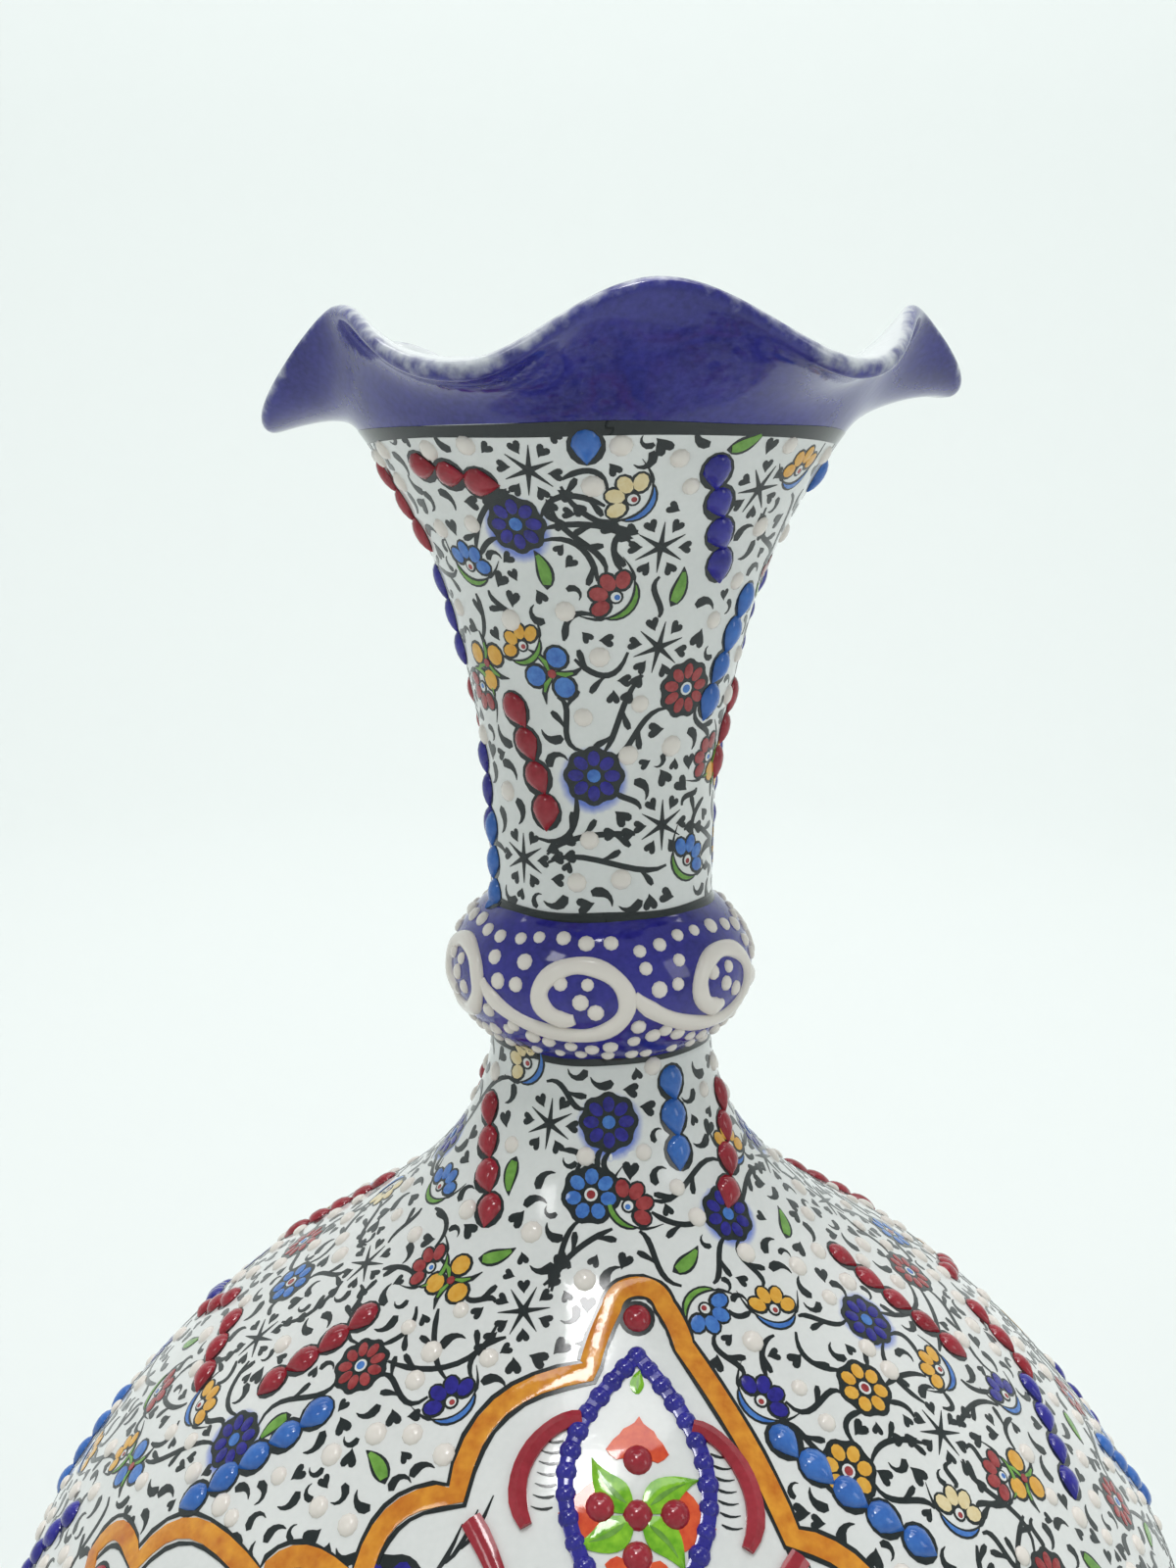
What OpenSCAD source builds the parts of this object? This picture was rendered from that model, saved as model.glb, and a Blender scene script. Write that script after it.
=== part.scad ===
// Tall-necked glazed vase with a ruffled rim, a ringed neck and raised enamel decoration.
// The origin is the middle of the foot, on the surface that the vase stands on.

/* [Body] */
// Thickness of the thrown clay wall
wall = 4.5; // [3.5:0.25:6]
// Height of the turned foot
foot_h = 10; // [8:0.5:10]
// Outer radius of the foot
foot_r = 52; // [50:0.5:54]
// Width of the ring that the foot stands on
foot_w = 8; // [5:0.5:12]
// Thickness of the floor of the belly
floor_h = 6; // [4:0.5:8]

/* [Neck] */
// Height at which the collar sits down on the shoulder
collar_low = 262; // [260:0.5:263]
// Height at which the neck leaves the collar
collar_high = 289; // [286:0.5:290]
// How far the collar swells beyond the neck
collar_bulge = 8.2; // [5:0.2:10]
// Radius of the straight bore of the neck
throat_r = 17.8; // [16:0.2:18]

/* [Ruffled rim] */
// Height of the painted band where the neck turns into the rim
rim_low = 379.5; // [378:0.5:381]
// How deep the ruffles are, 1 for the vase as made
ruffle_depth = 1; // [0.5:0.05:1.1]
// Thickness of the rim at the lip
lip_wall = 3.4; // [2.8:0.1:4]

/* [Raised enamel] */
// Diameter of a white dot on the ground
dot_d = 3.8; // [3:0.1:4.4]
// Height of a white dot
dot_h = 1.1; // [0.6:0.1:1.6]
// Width of a raised petal
petal_w = 5.4; // [4:0.1:5.6]
// Length of a raised petal
petal_l = 6.4; // [5.6:0.1:6.6]
// Distance between the petals of a chain
petal_step = 6.8; // [6.6:0.1:7.4]
// Width of the trailed scroll on the collar
scroll_w = 2.9; // [2:0.1:3.5]
// Number of scrolls round the collar
scrolls = 6; // [4:1:8]

/* [Medallions] */
// Half the width of a medallion, measured along the wall
medallion_w = 122; // [110:1:126]
// Half its height
medallion_h = 100; // [90:1:104]
// How far a medallion leans, in degrees
medallion_lean = 8; // [0:1:10]
// Direction of the medallion's upright line, in degrees from the front
medallion_turn = 8.5; // [0:0.5:12]
// Width of its glazed border
border_w = 3.6; // [3:0.1:5]
// Height of the border
border_h = 0.6; // [0.4:0.1:1]
// Diameter of a bead in the cobalt ropes
bead_d = 3.6; // [3:0.1:4]

/* [Hidden] */
$fn = 96;

glaze_white = [0.9, 0.91, 0.92];
cobalt = [0.13, 0.14, 0.52];
enamel_white = [0.93, 0.87, 0.83];
enamel_red = [0.55, 0.08, 0.12];
enamel_blue = [0.15, 0.4, 0.72];
amber = [0.88, 0.55, 0.14];

sink = 0.3;           // how far raised enamel is bedded into the glaze
neck_r = 22.3;        // outer radius of the straight part of the neck
base_z = 62;          // heights at which the thrown sections are luted together
belly_z = 132;
crown_z = 196;
bell_z = 338;
tube_drop = 6;        // how far the collar's tube runs down into the shoulder
tube_rise = 3;        // how far it stands up into the neck
nudge = 0.4;          // half the height over which the slope of the wall is taken

// Height and radius of the outer wall: the belly and shoulder, then the trumpet neck.
body_line = [[10, 50], [20, 68], [40, 90], [70, 109], [100, 119.5], [132, 123], [151, 119.5],
    [170, 107.5], [188, 91.5], [204, 73], [216, 55], [225, 43], [233, 34.6], [241, 28.5],
    [248, 25.2], [256, 22.9], [264, 22.3]];
neck_line = [[287, 22.2], [302, 22.3], [315, 22.8], [327, 24.8], [339, 27.4], [352, 31],
    [364, 36.5], [376, 43.6], [384, 49.4]];

// ---- The wall as a smooth curve ----

function piece_of(line, z, i = 0) = (i >= len(line) - 2 || z < line[i + 1][0]) ? i : piece_of(line, z, i + 1);

function lean_at(line, i) =
    let (a = line[max(i - 1, 0)], b = line[min(i + 1, len(line) - 1)])
    (b[1] - a[1]) / (b[0] - a[0]);

function curve(line, z) =
    let (i = piece_of(line, z), a = line[i], b = line[i + 1], h = b[0] - a[0], t = (z - a[0]) / h)
    (1 + 2 * t) * (1 - t) * (1 - t) * a[1] + t * (1 - t) * (1 - t) * h * lean_at(line, i)
    + t * t * (3 - 2 * t) * b[1] - t * t * (1 - t) * h * lean_at(line, i + 1);

collar_mid = (collar_low + collar_high) / 2;
collar_half = (collar_high - collar_low) / 2;

function collar_swell(z) = collar_bulge * pow(max(cos(90 * (z - collar_mid) / collar_half), 0), 0.75);

function wall_r(z) =
    z < collar_low ? curve(body_line, z)
    : z > collar_high ? curve(neck_line, z)
    : neck_r + collar_swell(z);

// Angle of the outward normal above the horizontal.
function wall_tilt(z) = atan((wall_r(z - nudge) - wall_r(z + nudge)) / (2 * nudge));

// Length of the wall from the foot up, paired with the height that it reaches.
len_step = 2;
wall_len = [for (z = foot_h, s = foot_h; z <= rim_low;
    s = s + norm([len_step, wall_r(z + len_step) - wall_r(z)]), z = z + len_step) [s, z]];

function z_at(s) = lookup(s, wall_len);
function s_at(z) = lookup(z, [for (w = wall_len) [w[1], w[0]]]);

// A place on the wall, turned az degrees to the right of the front.
function wall_point(az, z) = [wall_r(z) * sin(az), -wall_r(z) * cos(az), z];

function wall_normal(az, z) =
    let (t = wall_tilt(z))
    [cos(t) * sin(az), -cos(t) * cos(az), sin(t)];

// A place d further along the wall from p = [az, z], in a heading clockwise from straight up.
function along(p, heading, d) =
    let (z = p[1] + d * cos(heading) * cos(wall_tilt(p[1])))
    [p[0] + d * sin(heading) / wall_r(p[1]) * 180 / PI, z];

// Puts children on the wall: their Z leaves it, their Y runs up it, turned by the heading.
module on_wall(p, heading = 0) {
    rotate([0, 0, p[0]])
        translate([0, -wall_r(p[1]), p[1]])
            rotate([90 - wall_tilt(p[1]), 0, 0])
                rotate([0, 0, -heading])
                    translate([0, 0, -sink])
                        children();
}

// ---- Clay ----

// A point that lies the wall's thickness inside the outer wall.
function inside(z) = let (t = wall_tilt(z)) [wall_r(z) - wall * cos(t), z - wall * sin(t)];

module shell(low, high, step) {
    stations = [for (i = [0 : ceil((high - low) / step)]) min(low + i * step, high)];
    outer = [for (z = stations) [wall_r(z), z]];
    inner = [for (i = [len(stations) - 1 : -1 : 0]) inside(stations[i])];
    rotate_extrude()
        polygon(concat(outer, inner));
}

module foot_ring() {
    chamfer = 1;
    draft = 2;
    color(glaze_white)
        rotate_extrude()
            polygon([[foot_r - foot_w + chamfer, 0], [foot_r - chamfer, 0], [foot_r, chamfer],
                [foot_r - draft, foot_h], [foot_r - foot_w - draft, foot_h], [foot_r - foot_w, chamfer]]);
}

// The lowest section, with the floor that the foot is luted to.
module belly_base() {
    step = 4;
    corner = 2;
    floor_z = foot_h + floor_h;
    stations = [for (z = [foot_h : step : base_z]) z];
    climb = [for (z = stations) if (inside(z)[1] > floor_z + corner) inside(z)];
    hollow = [for (i = [len(climb) - 1 : -1 : 0]) climb[i]];
    color(glaze_white)
        rotate_extrude()
            polygon(concat([[0, foot_h]], [for (z = stations) [wall_r(z), z]], hollow,
                [[wall_r(foot_h), floor_z], [0, floor_z]]));
}

module belly_bowl() {
    color(glaze_white)
        shell(base_z, belly_z, 5);
}

module belly_shoulder() {
    color(glaze_white)
        shell(belly_z, crown_z, 4);
}

module shoulder_top() {
    color(glaze_white)
        shell(crown_z, collar_low - tube_drop, 3);
}

// The neck is thrown as a tube that runs down through the collar and into the shoulder's mouth.
module neck_collar() {
    low = collar_low - tube_drop;
    high = collar_high + tube_rise;
    step = 1.5;
    ease = 2;
    stations = [for (i = [0 : ceil((high - low) / step)]) min(low + i * step, high)];
    color(cobalt)
        rotate_extrude()
            polygon(concat([for (z = stations) [wall_r(z), z]],
                [inside(high), [throat_r, high - ease], [throat_r, low + ease], inside(low)]));
}

module neck_stem() {
    color(glaze_white)
        shell(collar_high + tube_rise, bell_z, 4);
}

module neck_bell() {
    color(glaze_white)
        shell(bell_z, rim_low, 3);
}

// ---- Rim ----

// Valleys and crests of the lip by turns, pressed by hand: [azimuth, radius, height, slope].
lip_marks = [[-95, 64, 380, -15], [-62, 54, 398, 60], [-21, 62.5, 385, -15], [8, 63, 398, 60],
    [38, 65, 386, -15], [70, 60, 398.5, 60], [98, 68.5, 387, -10], [142, 61, 398, 60],
    [188, 65, 385, -15], [228, 60, 398, 60], [265, 64, 380, -15]];
lip_mean = 391;
last_mark = len(lip_marks) - 1;

// Radius, height and slope of the lip in one direction, eased from mark to mark.
function lip_at(az) =
    let (a = az > lip_marks[last_mark][0] ? az - 360 : az,
        k = max([for (i = [0 : last_mark - 1]) if (lip_marks[i][0] <= a) i]),
        low = lip_marks[k], high = lip_marks[k + 1],
        t = (1 - cos(180 * (a - low[0]) / (high[0] - low[0]))) / 2,
        m = low + t * (high - low))
    [m[1], lip_mean + ruffle_depth * (m[2] - lip_mean), m[3]];

function bezier(a, b, c, d, t) =
    pow(1 - t, 3) * a + 3 * t * pow(1 - t, 2) * b + 3 * t * t * (1 - t) * c + pow(t, 3) * d;

// Radius and height along the rim's outer face, from the neck at t = 0 to the lip at t = 1.
function rim_line(az, t) =
    let (start = [wall_r(rim_low), rim_low], rise = 90 + wall_tilt(rim_low), pull = 6,
        lip = lip_at(az), end = [lip[0], lip[1]])
    bezier(start, start + pull * [cos(rise), sin(rise)],
        end - pull * [cos(lip[2]), sin(lip[2])], end, t);

function rim_way(az, t) =
    let (near = 0.02, d = rim_line(az, min(t + near, 1)) - rim_line(az, max(t - near, 0)))
    d / norm(d);

// The cross-section at one direction: up the outside, over the lip, down the inside.
function rim_section(az, n = 6) =
    let (tip = rim_way(az, 1), bulb = 0.4)
    concat(
        [for (i = [0 : n]) rim_line(az, i / n)],
        [rim_line(az, 1) + lip_wall / 2 * [-tip[1], tip[0]] + bulb * lip_wall * tip],
        [for (i = [n : -1 : 0]) let (w = rim_way(az, i / n), thick = wall + (lip_wall - wall) * i / n)
            rim_line(az, i / n) + thick * [-w[1], w[0]]]);

// A closed band made of equal cross-sections, the last joined to the first.
module hoop(sections) {
    count = len(sections);
    size = len(sections[0]);
    points = [for (s = sections) each s];
    faces = [for (i = [0 : count - 1], j = [0 : size - 1])
        let (a = i * size, b = (i + 1) % count * size, k = (j + 1) % size)
        each [[a + j, b + j, b + k], [a + j, b + k, a + k]]];
    polyhedron(points, faces);
}

module ruffled_rim() {
    turns = 100;
    color(cobalt)
        hoop([for (i = [0 : turns - 1]) let (az = i * 360 / turns)
            [for (p = rim_section(az)) [p[0] * sin(az), -p[0] * cos(az), p[1]]]]);
}

// ---- Enamel shapes ----

// A flat-bottomed drop of enamel, d across and h high.
module drop(d, h) {
    r = (d * d / 4 + h * h) / (2 * h);
    rotate_extrude()
        intersection() {
            translate([0, h + sink - r])
                circle(r, $fn = 48);
            square([d, h + sink]);
        }
}

// A teardrop lying on its flat side with its tip pointing along +Y: a round end, then a straight taper.
module petal(w, l) {
    widest = [0.42, -0.18];   // where the taper leaves the round end, in widths
    rotate([90, 0, 0])
        rotate_extrude(angle = 180)
            intersection() {
                translate([0, w / 2 - l])
                    square([w, l]);
                union() {
                    circle(d = w, $fn = 48);
                    polygon([[0, w / 2 - l], widest * w, [0, 0]]);
                }
            }
}

// Chains of petals: [azimuth, height, heading, count], and the same again half a turn on.
module chains(list) {
    for (side = [0, 180], c = list, k = [0 : c[3] - 1])
        let (p = along([c[0] + side, c[1]], c[2], k * petal_step))
            on_wall(p, c[2] + 180)
                petal(petal_w, petal_l);
}

neck_red = [[-50, 373, 105, 3], [-40, 329, 165, 4], [82, 330, 195, 3], [98, 372, 160, 3]];
neck_cobalt = [[28, 372, 155, 4], [-84, 352, 170, 3], [100, 318, 175, 3]];
neck_blue = [[-4, 376, 180, 1], [62, 349, 195, 4], [-73, 304, 175, 3], [-100, 372, 180, 1]];
body_red = [[-62, 248, 150, 4], [75, 249, 215, 4], [70, 219, 180, 5], [88, 199, 215, 3],
    [-53, 215, 195, 4], [-82, 201, 120, 3], [74, 150, 200, 4], [88, 92, 170, 5], [62, 40, 190, 4]];
body_cobalt = [[78, 191, 235, 4], [-76, 168, 200, 4], [99, 130, 185, 4], [-72, 60, 160, 4]];
body_blue = [[36, 256, 185, 3], [27, 207, 150, 5], [-46, 205, 205, 5], [85, 172, 160, 4],
    [-80, 118, 190, 4], [80, 66, 200, 4]];

module neck_red_petals() {
    color(enamel_red)
        chains(neck_red);
}

module neck_cobalt_petals() {
    color(cobalt)
        chains(neck_cobalt);
}

module neck_blue_petals() {
    color(enamel_blue)
        chains(neck_blue);
}

module body_red_petals() {
    color(enamel_red)
        chains(body_red);
}

module body_cobalt_petals() {
    color(cobalt)
        chains(body_cobalt);
}

module body_blue_petals() {
    color(enamel_blue)
        chains(body_blue);
}

// ---- White dots in staggered rows, left out where a chain or a medallion lies ----

dot_gap = 11;
all_chains = concat(neck_red, neck_cobalt, neck_blue, body_red, body_cobalt, body_blue);
petal_places = [for (side = [0, 180], c = all_chains, k = [0 : c[3] - 1])
    let (p = along([c[0] + side, c[1]], c[2], k * petal_step))
    wall_point(p[0], p[1])];

// The middle of each petal lies a little behind its round end.
function near_petal(q) = min([for (p = petal_places) norm(p - q)]) < petal_l;

// Sideways and downwards distance of a place from a medallion's middle, along the wall.
function medallion_place(az, z) =
    let (half = az > 90 - medallion_turn && az < 270 + medallion_turn ? 180 : 0,
        turn = (az > 270 ? az - 360 : az) - half - medallion_turn,
        u = turn * wall_r(z) * PI / 180, v = medallion_s - s_at(z),
        c = cos(medallion_lean), s = sin(medallion_lean))
    [u * c + v * s, v * c - u * s - medallion_h];

function in_medallion(az, z) =
    let (m = medallion_place((az + 360) % 360, z), clear = 6)
    abs(m[0]) / (medallion_w + clear) + abs(m[1]) / (medallion_h + clear) < 1;

// Rows of dots between two distances along the wall.
module dot_rows(low, high) {
    rows = floor((high - low) / dot_gap);
    for (i = [0 : rows])
        let (z = z_at(low + (i + 0.5) * (high - low) / (rows + 1)),
            count = floor(2 * PI * wall_r(z) / dot_gap))
            for (j = [0 : count - 1])
                let (az = (j + (i % 2) / 2) * 360 / count)
                    if (!near_petal(wall_point(az, z)) && !in_medallion(az, z))
                        on_wall([az, z])
                            drop(dot_d, dot_h);
}

medallion_s = 288;    // length of the wall up to a medallion's top tip
foot_gap = 20;        // bare wall between the foot and the lowest row of dots

module neck_dots() {
    color(enamel_white)
        dot_rows(s_at(collar_high) + dot_gap / 3, s_at(rim_low) - dot_gap / 3);
}

module shoulder_dots() {
    color(enamel_white)
        dot_rows(s_at(belly_z) + dot_gap / 2, s_at(collar_low) - dot_gap);
}

module bowl_dots() {
    color(enamel_white)
        dot_rows(foot_h + foot_gap, s_at(belly_z));
}

// ---- Collar ----

// One trailed wave: it leaves the scroll before it, dips to the collar's lower edge, rises on the
// right, turns over the top and winds in.
scroll_pitch = 2 * PI * (neck_r + collar_bulge) / scrolls;
scroll_turn = 0.86;
scroll_mid = collar_mid + 1;
scroll_squash = 0.86;
curl_r = 9.2;

function curl(t) =
    let (a = -90 + 350 * t, r = curl_r * (1 - pow(t, 4) / 2))
    [r * cos(a), 0.87 * r * sin(a) - 1];

scroll_path = concat(
    [for (i = [0 : 11]) bezier([-19.5, 0.5], [-18, -5], [-9, -9.4], curl(0), i / 12)],
    [for (i = [0 : 24]) curl(i / 24)]);

// A rounded trail of enamel along places on the wall, its ends closed.
module trail(places, w, h) {
    n = len(places);
    side = [[-0.5, 0], [-0.42, 0.55], [-0.18, 1], [0.18, 1], [0.42, 0.55], [0.5, 0]];
    size = len(side);
    points = [for (i = [0 : n - 1])
        let (here = places[i], a = places[max(i - 1, 0)], b = places[min(i + 1, n - 1)],
            up = wall_normal(here[0], here[1]),
            way = wall_point(b[0], b[1]) - wall_point(a[0], a[1]),
            across = cross(way, up) / norm(cross(way, up)))
        each [for (s = side)
            wall_point(here[0], here[1]) + s[0] * w * across + (s[1] * (h + sink) - sink) * up]];
    sides = [for (i = [0 : n - 2], j = [0 : size - 1])
        let (a = i * size, b = (i + 1) * size, k = (j + 1) % size)
        each [[a + j, b + k, b + j], [a + j, a + k, b + k]]];
    ends = [[for (j = [size - 1 : -1 : 0]) j], [for (j = [0 : size - 1]) (n - 1) * size + j]];
    polyhedron(points, concat(sides, ends));
}

// A place on the collar from x and y of the scroll number k.
function on_collar(k, p) =
    [(k + scroll_turn + p[0] / scroll_pitch) * 360 / scrolls, scroll_mid + p[1] * scroll_squash];

module collar_scrolls() {
    height = 1.3;
    color(enamel_white)
        for (k = [0 : scrolls - 1])
            trail([for (p = scroll_path) on_collar(k, p)], scroll_w, height);
}

// Dots inside each scroll, between the scrolls and along both edges of the collar.
module collar_dots() {
    dot = 2.6;
    high = 0.9;
    spots = [[-4, 2.6], [1.2, 2.8], [0, -0.6], [3.4, -3], [-11.8, 6.4], [-12.4, 1.8], [-9.8, 11.2],
        [-4.2, 11.4], [1.2, 11.2], [6.8, 10.6], [12, 9.6], [17, 10.4], [12.6, 5.8], [15.2, 1.4],
        [11.6, -6.6], [-14.4, -8.8], [-11, -10.6], [-7, -12], [-2.6, -12.6], [2, -12.8], [6.4, -12.4],
        [10.8, -11.2], [15, -9.8]];
    color(enamel_white)
        for (k = [0 : scrolls - 1], p = spots)
            on_wall(on_collar(k, p))
                drop(dot, high);
}

// ---- Medallions ----

// Quarter of the cusped outline: [x, down, bulge of the arc that leads there].
quarter = [[0, 0, 0], [0.038, 0.045, 0.012], [0.07, 0.17, 0.004], [0.25, 0.44, 0.055], [0.38, 0.65, 0.045],
    [0.55, 0.73, 0.045], [0.845, 0.9, 0.06], [1, 1, 0.035]];
// The upper right quarter was drawn flatter, without the first cusp.
flat_quarter = [[0, 0, 0], [0.042, 0.035, 0.012], [0.07, 0.11, 0.004], [0.216, 0.44, 0.01],
    [0.38, 0.65, 0.045], [0.55, 0.73, 0.045], [0.845, 0.9, 0.06], [1, 1, 0.035]];

// Points on the arc from a to b that bulges by f, without b itself.
function arc_points(a, b, f, n = 5) =
    let (d = b - a, out = [d[1], -d[0]] / norm(d))
    [for (i = [0 : n - 1]) let (t = i / n) a + t * d + 4 * t * (1 - t) * f * out];

function scaled(q) = [q[0] * medallion_w, (q[1] - 1) * medallion_h];

function path_through(corners) = [for (i = [1 : len(corners) - 1])
    each arc_points(scaled(corners[i - 1]), scaled(corners[i]), corners[i][2] * medallion_h)];

quarter_path = path_through(quarter);
outline = concat(
    path_through(flat_quarter),
    [for (i = [len(quarter_path) - 1 : -1 : 1]) [quarter_path[i][0], -quarter_path[i][1]]],
    [[0, medallion_h]],
    [for (i = [1 : len(quarter_path) - 1]) [-quarter_path[i][0], -quarter_path[i][1]]],
    [[-medallion_w, 0]],
    [for (i = [len(quarter_path) - 1 : -1 : 1]) [-quarter_path[i][0], quarter_path[i][1]]]);

// A place in the medallion, x to the right and y down from its middle, as a place on the wall.
function laid(m, side) =
    let (x = m[0], y = m[1] + medallion_h, c = cos(medallion_lean), s = sin(medallion_lean),
        z = z_at(medallion_s - x * s - y * c))
    [side + medallion_turn + (x * c - y * s) / wall_r(z) * 180 / PI, z];

module border(side) {
    places = concat(outline, [outline[0], outline[1]]);
    band = [for (i = [0 : len(places) - 2]) laid(places[i], side)];
    color(amber)
        trail(band, border_w, border_h);
}

module front_border() {
    border(0);
}

module back_border() {
    border(180);
}

// The four almond-shaped ropes: [x, y, turn, half width, half length] of each.
almonds = [[0, -63, 0, 12, 24], [0, 63, 180, 12, 24], [-72, 0, 270, 12, 24], [72, 0, 90, 12, 24]];

function turned(p, a) = [p[0] * cos(a) - p[1] * sin(a), p[0] * sin(a) + p[1] * cos(a)];

// An almond's edge at t from 0 to 1, starting at its outer tip: two arcs, pinched towards the tips.
function almond(w, h, t) =
    let (flip = t < 0.5 ? 1 : -1, u = t < 0.5 ? 4 * t - 1 : 3 - 4 * t,
        r = (h * h + w * w) / (2 * w), a = asin(h / r) * u, pinch = 1 - 0.3 * pow(r * sin(a) / h, 2))
    [flip * (r * cos(a) - r + w) * pinch, r * sin(a)];

module bead_ropes(side) {
    beads = 26;
    bead_h = 1.5;
    color(cobalt)
        for (a = almonds, i = [0 : beads - 1])
            let (p = turned(almond(a[3], a[4], i / beads), a[2]) + [a[0], a[1]])
                on_wall(laid(p, side))
                    drop(bead_d, bead_h);
}

module front_bead_ropes() {
    bead_ropes(0);
}

module back_bead_ropes() {
    bead_ropes(180);
}

// Raised red strokes, a pair beside each rope.
module red_strokes(side) {
    stroke = [[9.5, -11.5], [14.5, -8], [18.6, -2.5], [20, 3], [18, 7]];
    width = 3;
    height = 1.3;
    color(enamel_red)
        for (a = almonds, flip = [-1, 1])
            trail([for (p = stroke) laid(turned([p[0] * flip, p[1]], a[2]) + [a[0], a[1]], side)],
                width, height);
}

module front_red_strokes() {
    red_strokes(0);
}

module back_red_strokes() {
    red_strokes(180);
}

// Round red beads: one in each tip of the medallion and a cross of five in each rope.
module red_beads(side) {
    cross_beads = [[0, -5.5], [0, 3.5], [6, 3], [-6, 3], [0, 10]];
    bead = 5;
    bead_high = 1.7;
    tip_inset = 6;
    color(enamel_red) {
        for (a = almonds, b = cross_beads)
            on_wall(laid(turned(b, a[2]) + [a[0], a[1]], side))
                drop(bead, bead_high);
        for (tip = [[0, -1], [0, 1], [-1, 0], [1, 0]])
            on_wall(laid([tip[0] * (medallion_w - tip_inset), tip[1] * (medallion_h - tip_inset)], side))
                drop(bead, bead_high);
    }
}

module front_red_beads() {
    red_beads(0);
}

module back_red_beads() {
    red_beads(180);
}

foot_ring();
belly_base();
belly_bowl();
belly_shoulder();
shoulder_top();
neck_collar();
neck_stem();
neck_bell();
ruffled_rim();
collar_scrolls();
collar_dots();
neck_dots();
shoulder_dots();
bowl_dots();
neck_red_petals();
neck_cobalt_petals();
neck_blue_petals();
body_red_petals();
body_cobalt_petals();
body_blue_petals();
front_border();
back_border();
front_bead_ropes();
back_bead_ropes();
front_red_strokes();
back_red_strokes();
front_red_beads();
back_red_beads();
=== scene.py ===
import bpy
import bmesh
import math
import random
import numpy as np
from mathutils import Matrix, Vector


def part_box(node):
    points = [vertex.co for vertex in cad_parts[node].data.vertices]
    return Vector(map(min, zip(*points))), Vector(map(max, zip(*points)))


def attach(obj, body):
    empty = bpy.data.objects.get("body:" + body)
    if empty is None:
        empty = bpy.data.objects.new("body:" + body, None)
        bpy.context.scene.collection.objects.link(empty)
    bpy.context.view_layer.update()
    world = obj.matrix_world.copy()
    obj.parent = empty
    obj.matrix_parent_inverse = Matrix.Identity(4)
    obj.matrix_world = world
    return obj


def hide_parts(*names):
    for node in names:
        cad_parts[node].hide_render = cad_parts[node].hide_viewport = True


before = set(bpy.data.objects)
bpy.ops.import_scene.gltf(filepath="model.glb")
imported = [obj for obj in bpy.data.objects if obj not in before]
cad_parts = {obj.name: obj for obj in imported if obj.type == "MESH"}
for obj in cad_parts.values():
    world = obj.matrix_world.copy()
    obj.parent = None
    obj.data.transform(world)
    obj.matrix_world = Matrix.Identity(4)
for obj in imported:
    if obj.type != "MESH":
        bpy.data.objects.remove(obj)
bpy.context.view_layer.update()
bpy.ops.object.select_all(action="DESELECT")

mm = 0.001
dice = random.Random(2718)


# the wall of the vase, in mm: every piece of decoration is laid along it

wallShape = {
    "thickness": 4.5,
    "footHeight": 10.0,
    "collarLow": 262.0,
    "collarHigh": 289.0,
    "collarBulge": 8.2,
    "neckRadius": 22.3,
    "boreRadius": 17.8,
    "rimLow": 379.5,
    "widest": 132.0,
    "belly": [(10, 50), (20, 68), (40, 90), (70, 109), (100, 119.5), (132, 123), (151, 119.5),
              (170, 107.5), (188, 91.5), (204, 73), (216, 55), (225, 43), (233, 34.6), (241, 28.5),
              (248, 25.2), (256, 22.9), (264, 22.3)],
    "neck": [(287, 22.2), (302, 22.3), (315, 22.8), (327, 24.8), (339, 27.4), (352, 31),
             (364, 36.5), (376, 43.6), (384, 49.4)],
}


def smoothRadius(stations, z):
    zs, rs = np.array(stations, float).T
    lean = np.gradient(rs) / np.gradient(zs)
    i = np.clip(np.searchsorted(zs, z, side="right") - 1, 0, len(zs) - 2)
    h = zs[i + 1] - zs[i]
    t = (z - zs[i]) / h
    return ((1 + 2 * t) * (1 - t) ** 2 * rs[i] + t * (1 - t) ** 2 * h * lean[i]
            + t * t * (3 - 2 * t) * rs[i + 1] - t * t * (1 - t) * h * lean[i + 1])


def wallRadius(z):
    z = np.asarray(z, float)
    low, high = wallShape["collarLow"], wallShape["collarHigh"]
    middle, half = (low + high) / 2, (high - low) / 2
    swell = np.cos(np.clip((z - middle) / half, -1, 1) * math.pi / 2)
    collar = wallShape["neckRadius"] + wallShape["collarBulge"] * np.maximum(swell, 0) ** 0.75
    return np.where(z < low, smoothRadius(wallShape["belly"], z),
                    np.where(z > high, smoothRadius(wallShape["neck"], z), collar))


tableZ = np.arange(wallShape["footHeight"], wallShape["rimLow"] + 1.0, 0.25)
tableR = wallRadius(tableZ)
tableTilt = -np.arctan(np.gradient(tableR, tableZ))
tableSteps = np.hypot(np.diff(tableZ), np.diff(tableR))
tableS = wallShape["footHeight"] + np.concatenate([[0], np.cumsum(tableSteps)])


def alongAt(z):
    return float(np.interp(z, tableZ, tableS))


def radiusAt(s):
    return np.interp(s, tableS, tableR)


def onWall(az, s, lift=0.0):  # az in radians to the right of the front, s in mm along the wall
    r = np.interp(s, tableS, tableR)
    z = np.interp(s, tableS, tableZ)
    tilt = np.interp(s, tableS, tableTilt)
    out = r + np.cos(tilt) * lift
    return np.stack([out * np.sin(az), -out * np.cos(az), z + np.sin(tilt) * lift], axis=-1) * mm


neckStart = alongAt(wallShape["collarHigh"])
collarStart = alongAt(wallShape["collarLow"])
bellyLine = alongAt(wallShape["widest"])
wallEnd = alongAt(wallShape["rimLow"])
widestRadius = float(wallRadius(wallShape["widest"]))


# shader groups that several finishes share

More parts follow.
